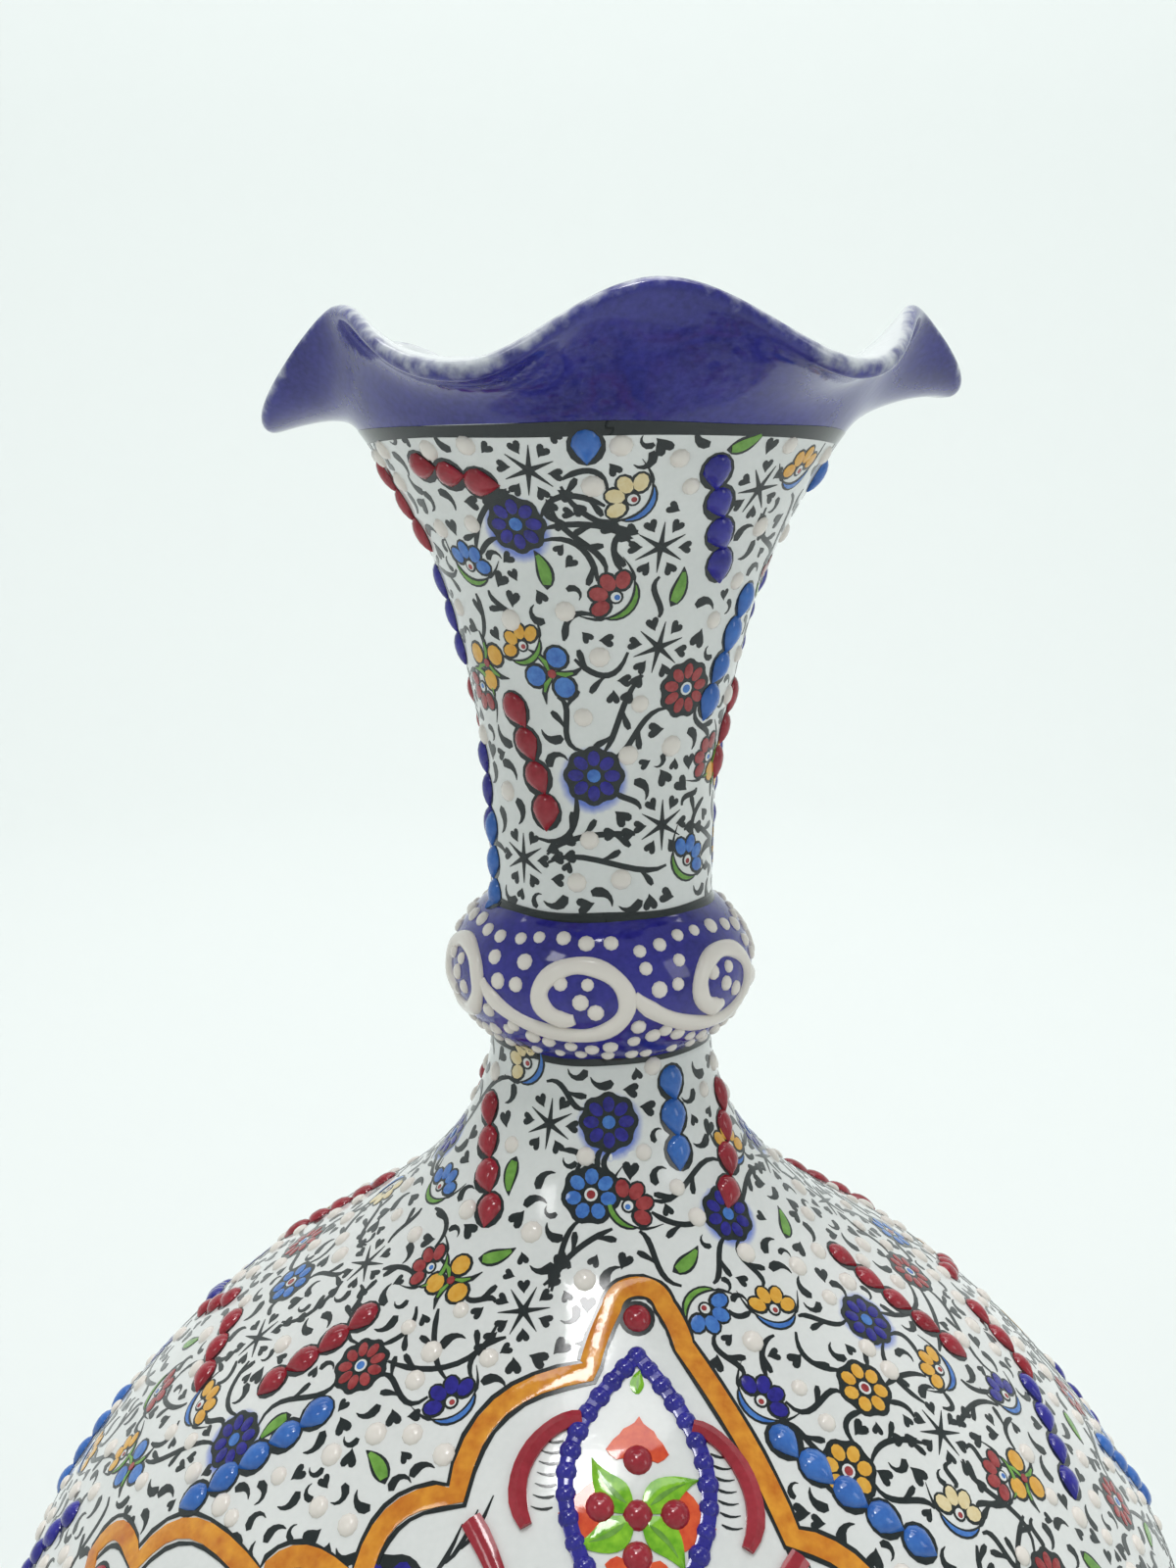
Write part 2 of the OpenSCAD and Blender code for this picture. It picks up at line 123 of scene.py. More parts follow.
def newGroup(name, inputs, outputs):
    group = bpy.data.node_groups.new(name, "ShaderNodeTree")
    for label, kind, value in inputs:
        socket = group.interface.new_socket(label, in_out="INPUT", socket_type=kind)
        socket.default_value = value
    for label, kind in outputs:
        group.interface.new_socket(label, in_out="OUTPUT", socket_type=kind)
    nodes = group.nodes
    return group, nodes.new("NodeGroupInput"), nodes.new("NodeGroupOutput")


def addNode(tree, kind, **settings):
    node = tree.nodes.new(kind)
    for key, value in settings.items():
        if key.startswith("in_"):
            node.inputs[key[3:].replace("_", " ")].default_value = value
        else:
            setattr(node, key, value)
    return node


def buildMottle():  # two tones of one glaze, cloudy and grainy
    group, source, sink = newGroup(
        "glazeMottle",
        [("Thick", "NodeSocketColor", (1, 1, 1, 1)), ("Thin", "NodeSocketColor", (1, 1, 1, 1)),
         ("Cloud Scale", "NodeSocketFloat", 60.0), ("Grain Scale", "NodeSocketFloat", 900.0),
         ("Grain", "NodeSocketFloat", 0.3)],
        [("Color", "NodeSocketColor"), ("Mask", "NodeSocketFloat")])
    link = group.links.new
    where = addNode(group, "ShaderNodeTexCoord")
    cloud = addNode(group, "ShaderNodeTexNoise", in_Detail=5.0, in_Roughness=0.6)
    grain = addNode(group, "ShaderNodeTexNoise", in_Detail=2.0)
    link(where.outputs["Object"], cloud.inputs["Vector"])
    link(where.outputs["Object"], grain.inputs["Vector"])
    link(source.outputs["Cloud Scale"], cloud.inputs["Scale"])
    link(source.outputs["Grain Scale"], grain.inputs["Scale"])
    blend = addNode(group, "ShaderNodeMix", data_type="FLOAT")
    link(source.outputs["Grain"], blend.inputs["Factor"])
    link(cloud.outputs["Fac"], blend.inputs["A"])
    link(grain.outputs["Fac"], blend.inputs["B"])
    spread = addNode(group, "ShaderNodeMapRange")
    spread.inputs["From Min"].default_value = 0.35
    spread.inputs["From Max"].default_value = 0.65
    link(blend.outputs["Result"], spread.inputs["Value"])
    tone = addNode(group, "ShaderNodeMix", data_type="RGBA")
    link(spread.outputs["Result"], tone.inputs["Factor"])
    link(source.outputs["Thick"], tone.inputs["A"])
    link(source.outputs["Thin"], tone.inputs["B"])
    link(tone.outputs["Result"], sink.inputs["Color"])
    link(spread.outputs["Result"], sink.inputs["Mask"])
    return group


def buildRipple():  # the slow waves and fine pits of a fired glaze, as a height
    group, source, sink = newGroup(
        "glazeRipple",
        [("Wave Scale", "NodeSocketFloat", 45.0), ("Pit Scale", "NodeSocketFloat", 420.0),
         ("Pits", "NodeSocketFloat", 0.12)],
        [("Height", "NodeSocketFloat")])
    link = group.links.new
    where = addNode(group, "ShaderNodeTexCoord")
    waves = addNode(group, "ShaderNodeTexNoise", in_Detail=1.5, in_Roughness=0.45)
    pits = addNode(group, "ShaderNodeTexNoise", in_Detail=2.0)
    link(where.outputs["Object"], waves.inputs["Vector"])
    link(where.outputs["Object"], pits.inputs["Vector"])
    link(source.outputs["Wave Scale"], waves.inputs["Scale"])
    link(source.outputs["Pit Scale"], pits.inputs["Scale"])
    add = addNode(group, "ShaderNodeMath", operation="MULTIPLY_ADD")
    link(pits.outputs["Fac"], add.inputs[0])
    link(source.outputs["Pits"], add.inputs[1])
    link(waves.outputs["Fac"], add.inputs[2])
    link(add.outputs[0], sink.inputs["Height"])
    return group


mottle = buildMottle()
ripple = buildRipple()


# what every finish has unless it says otherwise
plainGlaze = {
    "plain": False,       # one even colour, with no mottling
    "roughness": 0.12,
    "ior": 1.52,
    "bump": 0.25,
    "bumpDepth": 0.0012,
    "wave": 45.0,
    "pits": 0.12,
    "cloud": 60.0,
    "grain": 0.3,
    "grainScale": 900.0,
    "wornScale": 160.0,
    "wornBreak": 0.5,
}


def addRipple(tree, shader, look):
    height = addNode(tree, "ShaderNodeGroup", node_tree=ripple)
    height.inputs["Wave Scale"].default_value = look["wave"]
    height.inputs["Pits"].default_value = look["pits"]
    bump = addNode(tree, "ShaderNodeBump", in_Strength=look["bump"], in_Distance=look["bumpDepth"])
    tree.links.new(height.outputs["Height"], bump.inputs["Height"])
    tree.links.new(bump.outputs["Normal"], shader.inputs["Normal"])


def addMottle(tree, look):
    tone = addNode(tree, "ShaderNodeGroup", node_tree=mottle)
    tone.inputs["Thick"].default_value = (*look["thick"], 1)
    tone.inputs["Thin"].default_value = (*look["thin"], 1)
    tone.inputs["Cloud Scale"].default_value = look["cloud"]
    tone.inputs["Grain Scale"].default_value = look["grainScale"]
    tone.inputs["Grain"].default_value = look["grain"]
    return tone.outputs["Color"]


def addSecondGlaze(tree, look, color):  # an attribute says how far the second glaze has taken over
    mask = addNode(tree, "ShaderNodeAttribute", attribute_name=look["wornBy"])
    breakUp = addNode(tree, "ShaderNodeTexNoise", in_Scale=look["wornScale"], in_Detail=4.0)
    where = addNode(tree, "ShaderNodeTexCoord")
    tree.links.new(where.outputs["Object"], breakUp.inputs["Vector"])
    shift = addNode(tree, "ShaderNodeMath", operation="MULTIPLY_ADD")
    shift.inputs[1].default_value = look["wornBreak"]
    tree.links.new(breakUp.outputs["Fac"], shift.inputs[0])
    tree.links.new(mask.outputs["Fac"], shift.inputs[2])
    edge = addNode(tree, "ShaderNodeMapRange", interpolation_type="SMOOTHSTEP")
    edge.inputs["From Min"].default_value, edge.inputs["From Max"].default_value = look["wornRange"]
    tree.links.new(shift.outputs[0], edge.inputs["Value"])
    blend = addNode(tree, "ShaderNodeMix", data_type="RGBA")
    blend.inputs["B"].default_value = (*look["worn"], 1)
    tree.links.new(edge.outputs["Result"], blend.inputs["Factor"])
    tree.links.new(color, blend.inputs["A"])
    return blend.outputs["Result"]


def glazed(name, ownLook):
    look = {**plainGlaze, **ownLook}
    material = bpy.data.materials.new(name)
    material.use_nodes = True
    tree = material.node_tree
    shader = tree.nodes["Principled BSDF"]
    shader.inputs["Roughness"].default_value = look["roughness"]
    shader.inputs["IOR"].default_value = look["ior"]
    if look["plain"]:
        shader.inputs["Base Color"].default_value = (*look["thick"], 1)
    else:
        color = addMottle(tree, look)
        if "worn" in look:
            color = addSecondGlaze(tree, look, color)
        tree.links.new(color, shader.inputs["Base Color"])
    addRipple(tree, shader, look)
    return material


whiteGlaze = {"thick": (0.73, 0.735, 0.72), "thin": (0.81, 0.81, 0.795), "cloud": 28.0, "grain": 0.25,
              "roughness": 0.10, "bump": 0.22, "pits": 0.10}
paint = {"roughness": 0.10, "bump": 0.1, "cloud": 500.0}
warmPaint = {**paint, "cloud": 400.0}
enamel = {"roughness": 0.08, "bump": 0.2, "cloud": 180.0}
finishes = {
    "whiteGlaze": whiteGlaze,
    "rimGlaze": {"thick": (0.016, 0.016, 0.15), "thin": (0.038, 0.038, 0.27), "cloud": 70.0, "grain": 0.45,
                 "roughness": 0.09, "bump": 0.2, "worn": (0.76, 0.78, 0.80), "wornBy": "lip",
                 "wornRange": (0.62, 0.98), "wornScale": 300.0},
    "collarGlaze": {"thick": (0.018, 0.016, 0.19), "thin": (0.04, 0.035, 0.33), "cloud": 90.0,
                    "grain": 0.4, "roughness": 0.08, "bump": 0.15},
    "bareClay": {"thick": (0.60, 0.54, 0.46), "thin": (0.70, 0.66, 0.60), "cloud": 120.0, "grain": 0.6,
                 "roughness": 0.75, "bump": 0.5, "pits": 0.8},
    "inkPaint": {"thick": (0.010, 0.015, 0.016), "plain": True, "bump": 0.1},
    "bleedPaint": {**whiteGlaze, "worn": (0.13, 0.20, 0.62), "wornBy": "bleed", "wornRange": (0.42, 1.35),
                   "wornScale": 420.0},
    "cobaltPaint": {**paint, "thick": (0.008, 0.005, 0.15), "thin": (0.025, 0.018, 0.32)},
    "bluePaint": {**paint, "thick": (0.03, 0.12, 0.45), "thin": (0.08, 0.24, 0.62)},
    "redPaint": {**paint, "thick": (0.25, 0.015, 0.02), "thin": (0.42, 0.06, 0.06)},
    "yellowPaint": {**warmPaint, "thick": (0.70, 0.32, 0.025), "thin": (0.80, 0.45, 0.07)},
    "creamPaint": {**warmPaint, "thick": (0.72, 0.56, 0.28), "thin": (0.82, 0.70, 0.44)},
    "greenPaint": {**warmPaint, "thick": (0.10, 0.26, 0.03), "thin": (0.20, 0.42, 0.07)},
    "leafEnamel": {**enamel, "thick": (0.10, 0.36, 0.005), "thin": (0.30, 0.62, 0.03), "cloud": 260.0,
                   "bump": 0.15},
    "vermilionEnamel": {**enamel, "thick": (0.62, 0.045, 0.015), "thin": (0.82, 0.13, 0.035),
                        "cloud": 220.0, "bump": 0.15},
    "amberGlaze": {"thick": (0.55, 0.14, 0.006), "thin": (0.83, 0.36, 0.03), "cloud": 130.0,
                   "grain": 0.35, "grainScale": 500.0, "roughness": 0.08, "bump": 0.3},
    "whiteEnamel": {"thick": (0.82, 0.755, 0.695), "plain": True, "roughness": 0.16, "bump": 0.15},
    "redEnamel": {**enamel, "thick": (0.26, 0.010, 0.020), "thin": (0.40, 0.028, 0.045), "roughness": 0.10},
    "cobaltEnamel": {**enamel, "thick": (0.016, 0.014, 0.20), "thin": (0.035, 0.03, 0.34)},
    "blueEnamel": {**enamel, "thick": (0.025, 0.11, 0.42), "thin": (0.05, 0.18, 0.56)},
}
materials = {name: glazed(name, look) for name, look in finishes.items()}
print("finishes ready:", len(materials))


# helpers that turn points and faces into finished pieces

def finishPiece(piece, material, nodes=()):
    piece.data.materials.clear()
    piece.data.materials.append(materials[material])
    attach(piece, "root")
    if nodes:
        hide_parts(*nodes)


def meshPiece(name, points, faces, smoothAngle=None):
    mesh = bpy.data.meshes.new(name)
    mesh.from_pydata([tuple(p) for p in points], [], faces)
    shape = bmesh.new()
    shape.from_mesh(mesh)
    bmesh.ops.recalc_face_normals(shape, faces=shape.faces[:])
    shape.to_mesh(mesh)
    shape.free()
    mesh.polygons.foreach_set("use_smooth", [True] * len(mesh.polygons))
    if smoothAngle is not None:
        mesh.set_sharp_from_angle(angle=math.radians(smoothAngle))
    piece = bpy.data.objects.new(name, mesh)
    bpy.context.collection.objects.link(piece)
    return piece


# thrown clay: a circle is extruded and scaled up the outside and down the inside

def thrownPiece(name, outline, around=256):
    bpy.ops.object.select_all(action="DESELECT")
    r, z = outline[0]
    bpy.ops.mesh.primitive_circle_add(vertices=around, radius=r * mm, location=(0, 0, z * mm))
    piece = bpy.context.object
    piece.name = piece.data.name = name
    bpy.ops.object.transform_apply(location=True, rotation=False, scale=False)
    bpy.ops.object.mode_set(mode="EDIT")
    bpy.ops.mesh.select_mode(type="EDGE")
    bpy.ops.mesh.select_all(action="SELECT")
    for nextR, nextZ in outline[1:]:
        bpy.ops.mesh.extrude_region_move(TRANSFORM_OT_translate={"value": (0, 0, (nextZ - z) * mm)})
        bpy.ops.transform.resize(value=(nextR / r, nextR / r, 1), center_override=(0, 0, 0))
        r, z = nextR, nextZ
    bpy.ops.mesh.select_all(action="SELECT")
    bpy.ops.mesh.remove_doubles(threshold=1e-6)
    bpy.ops.mesh.normals_make_consistent(inside=False)
    bpy.ops.object.mode_set(mode="OBJECT")
    bpy.ops.object.shade_smooth()
    return piece


def outerPoint(z):
    return (float(np.interp(z, tableZ, tableR)), float(z))


def innerPoint(z):
    r, z = outerPoint(z)
    tilt = float(np.interp(z, tableZ, tableTilt))
    return (r - wallShape["thickness"] * math.cos(tilt), z - wallShape["thickness"] * math.sin(tilt))


def wallOutline(low, high, step=2.0):
    count = max(2, int(round((high - low) / step)) + 1)
    stations = np.linspace(low, high, count)
    outer = [outerPoint(z) for z in stations]
    return outer + [innerPoint(z) for z in stations[::-1]] + [outer[0]]


footRing = {
    "outer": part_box("foot_ring")[1][0] / mm,
    "width": 8.0,
    "roundOff": 1.2,
    "roundSteps": 5,
    "waistHeight": 5.0,
    "waistOutside": 0.8,
    "waistInside": 0.6,
    "taper": 2.0,
    "around": 192,
}


def buildFoot():
    look, top = footRing, wallShape["footHeight"]
    outer, soft = look["outer"], look["roundOff"]
    inner = outer - look["width"]
    arc = [i / look["roundSteps"] * math.pi / 2 for i in range(look["roundSteps"] + 1)]
    right = [(outer - soft + soft * math.sin(a), soft - soft * math.cos(a)) for a in arc]
    left = [(inner + soft - soft * math.cos(a), soft - soft * math.sin(a)) for a in arc]
    up = [(outer - look["waistOutside"], look["waistHeight"]), (outer - look["taper"], top)]
    down = [(inner - look["taper"], top), (inner - look["waistInside"], look["waistHeight"])]
    piece = thrownPiece("footRing", right + up + down + left + [right[0]], look["around"])
    finishPiece(piece, "bareClay", ["foot_ring"])


bellyBowl = {
    "stations": 50,
    "floor": 6.0,         # thickness of the floor
    "floorStep": 2.0,     # the inner wall ends this far above the floor
    "floorEase": 6.0,
    "floorFlat": 30.0,
    "middleHole": 0.4,
}


def closeMiddle(piece, levels):  # the tiny hole left in the middle of the floor
    shape = bmesh.new()
    shape.from_mesh(piece.data)
    for level in levels:
        near = [v for v in shape.verts
                if math.hypot(v.co.x, v.co.y) < 0.0005 and abs(v.co.z - level * mm) < 1e-5]
        bmesh.ops.pointmerge(shape, verts=near, merge_co=(0, 0, level * mm))
    bmesh.ops.dissolve_degenerate(shape, dist=1e-7, edges=shape.edges[:])
    loose = [e for e in shape.edges if not e.link_faces]
    bmesh.ops.delete(shape, geom=loose, context="EDGES")
    shape.to_mesh(piece.data)
    shape.free()


def buildBowl():
    look, low = bellyBowl, wallShape["footHeight"]
    stations = np.linspace(low, wallShape["widest"], look["stations"])
    outer = [outerPoint(z) for z in stations]
    top = low + look["floor"]
    inner = [innerPoint(z) for z in stations[::-1]]
    inner = [p for p in inner if p[1] > top + look["floorStep"]]
    flat, hole = look["floorFlat"], look["middleHole"]
    floor = [(inner[-1][0] - look["floorEase"], top), (flat, top), (hole, top), (hole, low), (flat, low)]
    piece = thrownPiece("bellyBowl", outer + inner + floor + [outer[0]])
    closeMiddle(piece, (low, top))
    finishPiece(piece, "whiteGlaze", ["belly_base", "belly_bowl"])


collarWall = {"overlap": 0.4, "stations": 48, "boreEase": 2.0}


def buildClay():
    buildFoot()
    buildBowl()
    low = wallShape["collarLow"] - collarWall["overlap"]  # the joins lie under painted bands
    high = wallShape["collarHigh"] + collarWall["overlap"]
    shoulder = thrownPiece("bellyShoulder", wallOutline(wallShape["widest"], low))
    finishPiece(shoulder, "whiteGlaze", ["belly_shoulder", "shoulder_top"])
    bore, ease = wallShape["boreRadius"], collarWall["boreEase"]
    outer = [outerPoint(z) for z in np.linspace(low, high, collarWall["stations"])]
    inner = [innerPoint(high), (bore, high - ease), (bore, (low + high) / 2), (bore, low + ease),
             innerPoint(low)]
    collar = thrownPiece("neckCollar", outer + inner + [outer[0]])
    finishPiece(collar, "collarGlaze", ["neck_collar"])
    trumpet = thrownPiece("neckTrumpet", wallOutline(high, wallShape["rimLow"]))
    finishPiece(trumpet, "whiteGlaze", ["neck_stem", "neck_bell"])
    print("thrown clay done")


# ruffled rim: the lip is pressed into waves, so its section changes all the way round

ruffledRim = {
    # valleys and crests of the lip by turns: direction in degrees, radius, height, slope
    "marks": [(-95, 64, 380, -15), (-62, 54, 398, 60), (-21, 62.5, 385, -15), (8, 63, 398, 60),
              (38, 65, 386, -15), (70, 60, 398.5, 60), (98, 68.5, 387, -10), (142, 61, 398, 60),
              (188, 65, 385, -15), (228, 60, 398, 60), (265, 64, 380, -15)],
    "pull": 6.0,
    "lipWall": 3.4,
    "lipSteps": 8,
    "lipBulge": 0.9,
    "around": 400,
    "up": 14,
    # how white the glaze is: it rises to the lip, goes on over it and is full inside
    "outsideTone": 0.28,
    "outsideRise": 6,
    "lipTone": 0.42,
    "lipEdgeTone": 0.75,
    "insideTone": 1.3,
}


def lipAt(az):  # radius, height and slope, eased from mark to mark
    marks = ruffledRim["marks"]
    turn = math.degrees(az)
    turn = turn - 360 if turn > marks[-1][0] else turn
    k = max(i for i in range(len(marks) - 1) if marks[i][0] <= turn)
    low, high = np.array(marks[k], float), np.array(marks[k + 1], float)
    t = (1 - math.cos(math.pi * (turn - low[0]) / (high[0] - low[0]))) / 2
    return (low + t * (high - low))[1:]


def rimCurve(az, t):
    low, pull = wallShape["rimLow"], ruffledRim["pull"]
    start = np.array([float(wallRadius(low)), low])
    rise = math.pi / 2 + float(np.interp(low, tableZ, tableTilt))
    r, z, slope = lipAt(az)
    end, lip = np.array([r, z]), math.radians(slope)
    a = start + pull * np.array([math.cos(rise), math.sin(rise)])
    b = end - pull * np.array([math.cos(lip), math.sin(lip)])
    return (1 - t) ** 3 * start + 3 * t * (1 - t) ** 2 * a + 3 * t * t * (1 - t) * b + t ** 3 * end


def rimWay(az, t):  # the direction in which the rim climbs
    near = 0.02
    d = rimCurve(az, min(t + near, 1)) - rimCurve(az, max(t - near, 0))
    return d / np.hypot(*d)


def rimSection(az):  # radius and height of each point, and how white it is
    rim, thick = ruffledRim, wallShape["thickness"]
    steps = [i / rim["up"] for i in range(rim["up"] + 1)]
    outside = [(rimCurve(az, t), rim["outsideTone"] * t ** rim["outsideRise"]) for t in steps]
    d = rimWay(az, 1)
    up = np.array([-d[1], d[0]])
    half = rim["lipWall"] / 2
    middle = rimCurve(az, 1) + half * up
    lip = []
    for i in range(1, rim["lipSteps"]):
        a = math.pi * i / rim["lipSteps"]
        point = middle - half * math.cos(a) * up + half * rim["lipBulge"] * math.sin(a) * d
        lip.append((point, rim["outsideTone"] + rim["lipTone"] * a / math.pi))
    inside = []
    for t in reversed(steps):
        d = rimWay(az, t)
        wall = thick + (rim["lipWall"] - thick) * t
        tone = rim["insideTone"] if t < 1 else rim["lipEdgeTone"]
        inside.append((rimCurve(az, t) + wall * np.array([-d[1], d[0]]), tone))
    return outside + lip + inside


def buildRim():
    around = ruffledRim["around"]
    sections = [rimSection(2 * math.pi * i / around) for i in range(around)]
    size = len(sections[0])
    points, lipTone = [], []
    for i, section in enumerate(sections):
        az = 2 * math.pi * i / around
        for (r, z), tone in section:
            points.append((r * math.sin(az) * mm, -r * math.cos(az) * mm, z * mm))
            lipTone.append(tone)
    faces = []
    for i in range(around):
        a, b = i * size, (i + 1) % around * size
        for j in range(size):
            k = (j + 1) % size
            faces.append((a + j, b + j, b + k, a + k))
    piece = meshPiece("ruffledRim", points, faces, 50)
    tone = piece.data.attributes.new("lip", "FLOAT", "POINT")
    tone.data.foreach_set("value", lipTone)
    finishPiece(piece, "rimGlaze", ["ruffled_rim"])
    print("ruffled rim done")


# flat patterns: each is drawn once in mm and then wrapped round the wall wherever it goes

def flatShape(outline, lift, dome=0.0, rings=(1.0, 0.55), under=0.08):
    outline = np.asarray(outline, float)
    count = len(outline)
    middle = outline.mean(axis=0)
    points, faces = [], []
    for ring in rings:
        height = lift + dome * (1 - ring ** 2)
        points += [(*(middle + (p - middle) * ring), height) for p in outline]
    for k in range(len(rings) - 1):
        a, b = k * count, (k + 1) * count
        faces += [(a + i, a + (i + 1) % count, b + (i + 1) % count, b + i) for i in range(count)]
    last = (len(rings) - 1) * count
    points.append((*middle, lift + dome))
    centre = len(points) - 1
    faces += [(last + i, last + (i + 1) % count, centre) for i in range(count)]
    base = len(points)
    points += [(*p, -under) for p in outline]
    points.append((*middle, -under - 0.2))  # a deep middle stays inside the wall
    faces += [(base + i, base + (i + 1) % count, (i + 1) % count, i) for i in range(count)]
    faces += [(base + (i + 1) % count, base + i, base + count) for i in range(count)]
    return np.array(points), faces


def ribbonFaces(rows, size):
    faces = []
    for i in range(rows - 1):
        a, b = i * size, (i + 1) * size
        faces += [(a + j, b + j, b + (j + 1) % size, a + (j + 1) % size) for j in range(size)]
    last = (rows - 1) * size
    return faces + [tuple(range(size)), tuple(last + size - 1 - j for j in range(size))]


def strokeSection(lift, dome, under):  # where each corner of a stroke lies: side and height
    top = [(-1, lift), (0, lift + dome), (1, lift)] if dome else [(-1, lift), (1, lift)]
    return top + [(1, -under), (-1, -under)]


def flatStroke(path, widths, lift, dome=0.0, under=0.08):
    path, widths = np.asarray(path, float), np.asarray(widths, float)
    way = np.gradient(path, axis=0)
    way = way / np.maximum(np.hypot(*way.T), 1e-9)[:, None]
    side = np.stack([-way[:, 1], way[:, 0]], axis=-1) * widths[:, None] / 2
    section = strokeSection(lift, dome, under)
    points = [(*(p + k * s), h) for p, s in zip(path, side) for k, h in section]
    return np.array(points), ribbonFaces(len(path), len(section))


def joined(*shapes):
    points, faces, base = [], [], 0
    for p, f in shapes:
        points.append(p)
        faces += [tuple(i + base for i in face) for face in f]
        base += len(p)
    return np.concatenate(points), faces


def moved(shape, x=0.0, y=0.0, turn=0.0, size=1.0):
    points, faces = shape
    c, s = math.cos(math.radians(turn)), math.sin(math.radians(turn))
    flat = points.copy()
    flat[:, 0] = x + size * (points[:, 0] * c + points[:, 1] * s)  # a turn is clockwise, from straight up
    flat[:, 1] = y + size * (points[:, 1] * c - points[:, 0] * s)
    return flat, faces


def arcPath(radius, start, sweep, count, x=0.0, y=0.0):
    return [(x + radius * math.sin(math.radians(start + sweep * i / (count - 1))),
             y + radius * math.cos(math.radians(start + sweep * i / (count - 1)))) for i in range(count)]


def ellipse(x, y, width, height, turn=0.0, count=12):
    c, s = math.cos(math.radians(turn)), math.sin(math.radians(turn))
    out = []
    for i in range(count):
        a = 2 * math.pi * i / count
        u, v = width / 2 * math.sin(a), height / 2 * math.cos(a)
        out.append((x + u * c + v * s, y + v * c - u * s))
    return out


# how far paint stands off the glaze; small extra steps keep strokes that cross out of one plane
inkLift, paintLift, topLift = 0.07, 0.13, 0.17
disc = (1.0,)            # rings of a flat spot
domed = (1.0, 0.5)       # rings of a spot with a rounded top

strokes = {
    "heartWidth": 3.1,
    # right half of a heart of width 1, from the notch down to the point
    "heart": [(0, 0.19), (0.14, 0.36), (0.34, 0.38), (0.49, 0.22), (0.47, 0.0), (0.30, -0.26),
              (0.12, -0.46), (0.05, -0.66)],
    "comma": {"arc": (2.5, -65, 125), "widths": [1.1, 1.8, 1.85, 1.4, 0.95, 0.6, 0.15]},
    "hook": {"arc": (1.8, -110, 175), "widths": [1.0, 1.65, 1.55, 1.1, 0.8, 0.5, 0.15]},
    "tendril": {"across": 2.6, "up": 3.9, "curl": 1.6, "widths": [0.35, 0.4, 0.55, 0.8, 1.15, 1.3, 0.7]},
    "star": {"rays": 6, "core": 1.7, "ray": [0.3, 1.4, 3.0, 4.9], "widths": [1.2, 0.85, 0.55, 0.12],
             "heartWidth": 2.5, "heartAt": 4.9},
}


def spot(y, width, height=None, lift=inkLift, dome=0.0, rings=disc, count=12, x=0.0):
    return flatShape(ellipse(x, y, width, height or width, count=count), lift, dome, rings=rings)


def heartShape(width=strokes["heartWidth"]):
    right = strokes["heart"]
    left = [(-x, y) for x, y in right[-2:0:-1]]
    return flatShape([(x * width, y * width) for x, y in right + left], inkLift, rings=disc)


def curlShape(look):
    path = np.array(arcPath(*look["arc"], len(look["widths"])))
    return flatStroke(path - np.mean(path, axis=0), look["widths"], inkLift)


def tendrilShape(flip):  # leaves a vine thinly and ends in a round head
    look = strokes["tendril"]
    last = len(look["widths"]) - 1
    path = [(flip * look["across"] * (i / last) ** look["curl"], look["up"] * i / last)
            for i in range(last + 1)]
    return flatStroke(path, look["widths"], inkLift)


def starShape():
    look = strokes["star"]
    parts = [spot(0, look["core"])]
    for k in range(look["rays"]):
        turn = k * 360 / look["rays"]
        ray = flatStroke([(0, y) for y in look["ray"]], look["widths"], inkLift)
        heart = moved(heartShape(look["heartWidth"]), y=look["heartAt"])
        parts += [moved(ray, turn=turn), moved(heart, turn=turn + 180 / look["rays"])]
    return joined(*parts)


rosetteLook = {  # everything but the rim is a share of the radius
    "radius": 4.9,
    "rim": 0.2,
    "scallop": 0.75,
    "rimSteps": 5,
    "petalAt": 0.69,
    "petalLength": 0.62,
    "petalWidth": 0.594,   # of the whole way round
    "petalDome": 0.10,
    "ring": 0.52,
    "eye": 0.34,
}


def rosette(petals, color, eye, ring="whiteGlaze", radius=rosetteLook["radius"]):
    look = rosetteLook
    rim = []
    for i in range(petals * look["rimSteps"]):
        a = 2 * math.pi * i / (petals * look["rimSteps"])
        r = radius + look["rim"] + look["scallop"] * abs(math.cos(petals * a / 2))
        rim.append((r * math.sin(a), r * math.cos(a)))
    wide = 2 * math.pi * radius * look["petalWidth"] / petals
    petal = spot(radius * look["petalAt"], wide, radius * look["petalLength"], paintLift,
                 look["petalDome"], domed, 10)
    return [("inkPaint", flatShape(rim, inkLift, rings=(1.0, 0.66, 0.33))),
            (color, joined(*[moved(petal, turn=360 * k / petals) for k in range(petals)])),
            (ring, spot(0, radius * look["ring"], lift=paintLift + 0.03)),
            (eye, spot(0, radius * look["eye"], lift=topLift + 0.04))]


halfFlowerLook = {  # sizes are shares of the radius: where, how wide, how long
    "radius": 5.3,
    "petals": 4,
    "spread": 132,
    "petalInk": (0.66, 0.70, 0.84),
    "petal": (0.68, 0.50, 0.66),
    "petalDome": 0.08,
    "cupRadius": 0.95,
    "cupAt": 0.42,
    "cupInk": {"arc": (118, 124), "widths": [0.15, 0.8, 1.3, 1.55, 1.65, 1.7, 1.65, 1.55, 1.3, 0.8, 0.15]},
    "cup": {"arc": (130, 100), "widths": [0.1, 0.4, 0.7, 0.85, 0.9, 0.85, 0.7, 0.4, 0.1]},
    "tailWidths": [0.9, 0.75, 0.55, 0.35, 0.1],
    "eyeInk": (0.1, 0.52),
    "eyeRing": (0.1, 0.36),
    "eye": (0.06, 0.2),
    "eyeAside": 0.1,
}


def cupStroke(look, lift):
    flower = halfFlowerLook
    path = arcPath(flower["radius"] * flower["cupRadius"], *look["arc"], len(look["widths"]),
                   y=flower["radius"] * flower["cupAt"])
    return flatStroke(path, look["widths"], lift)


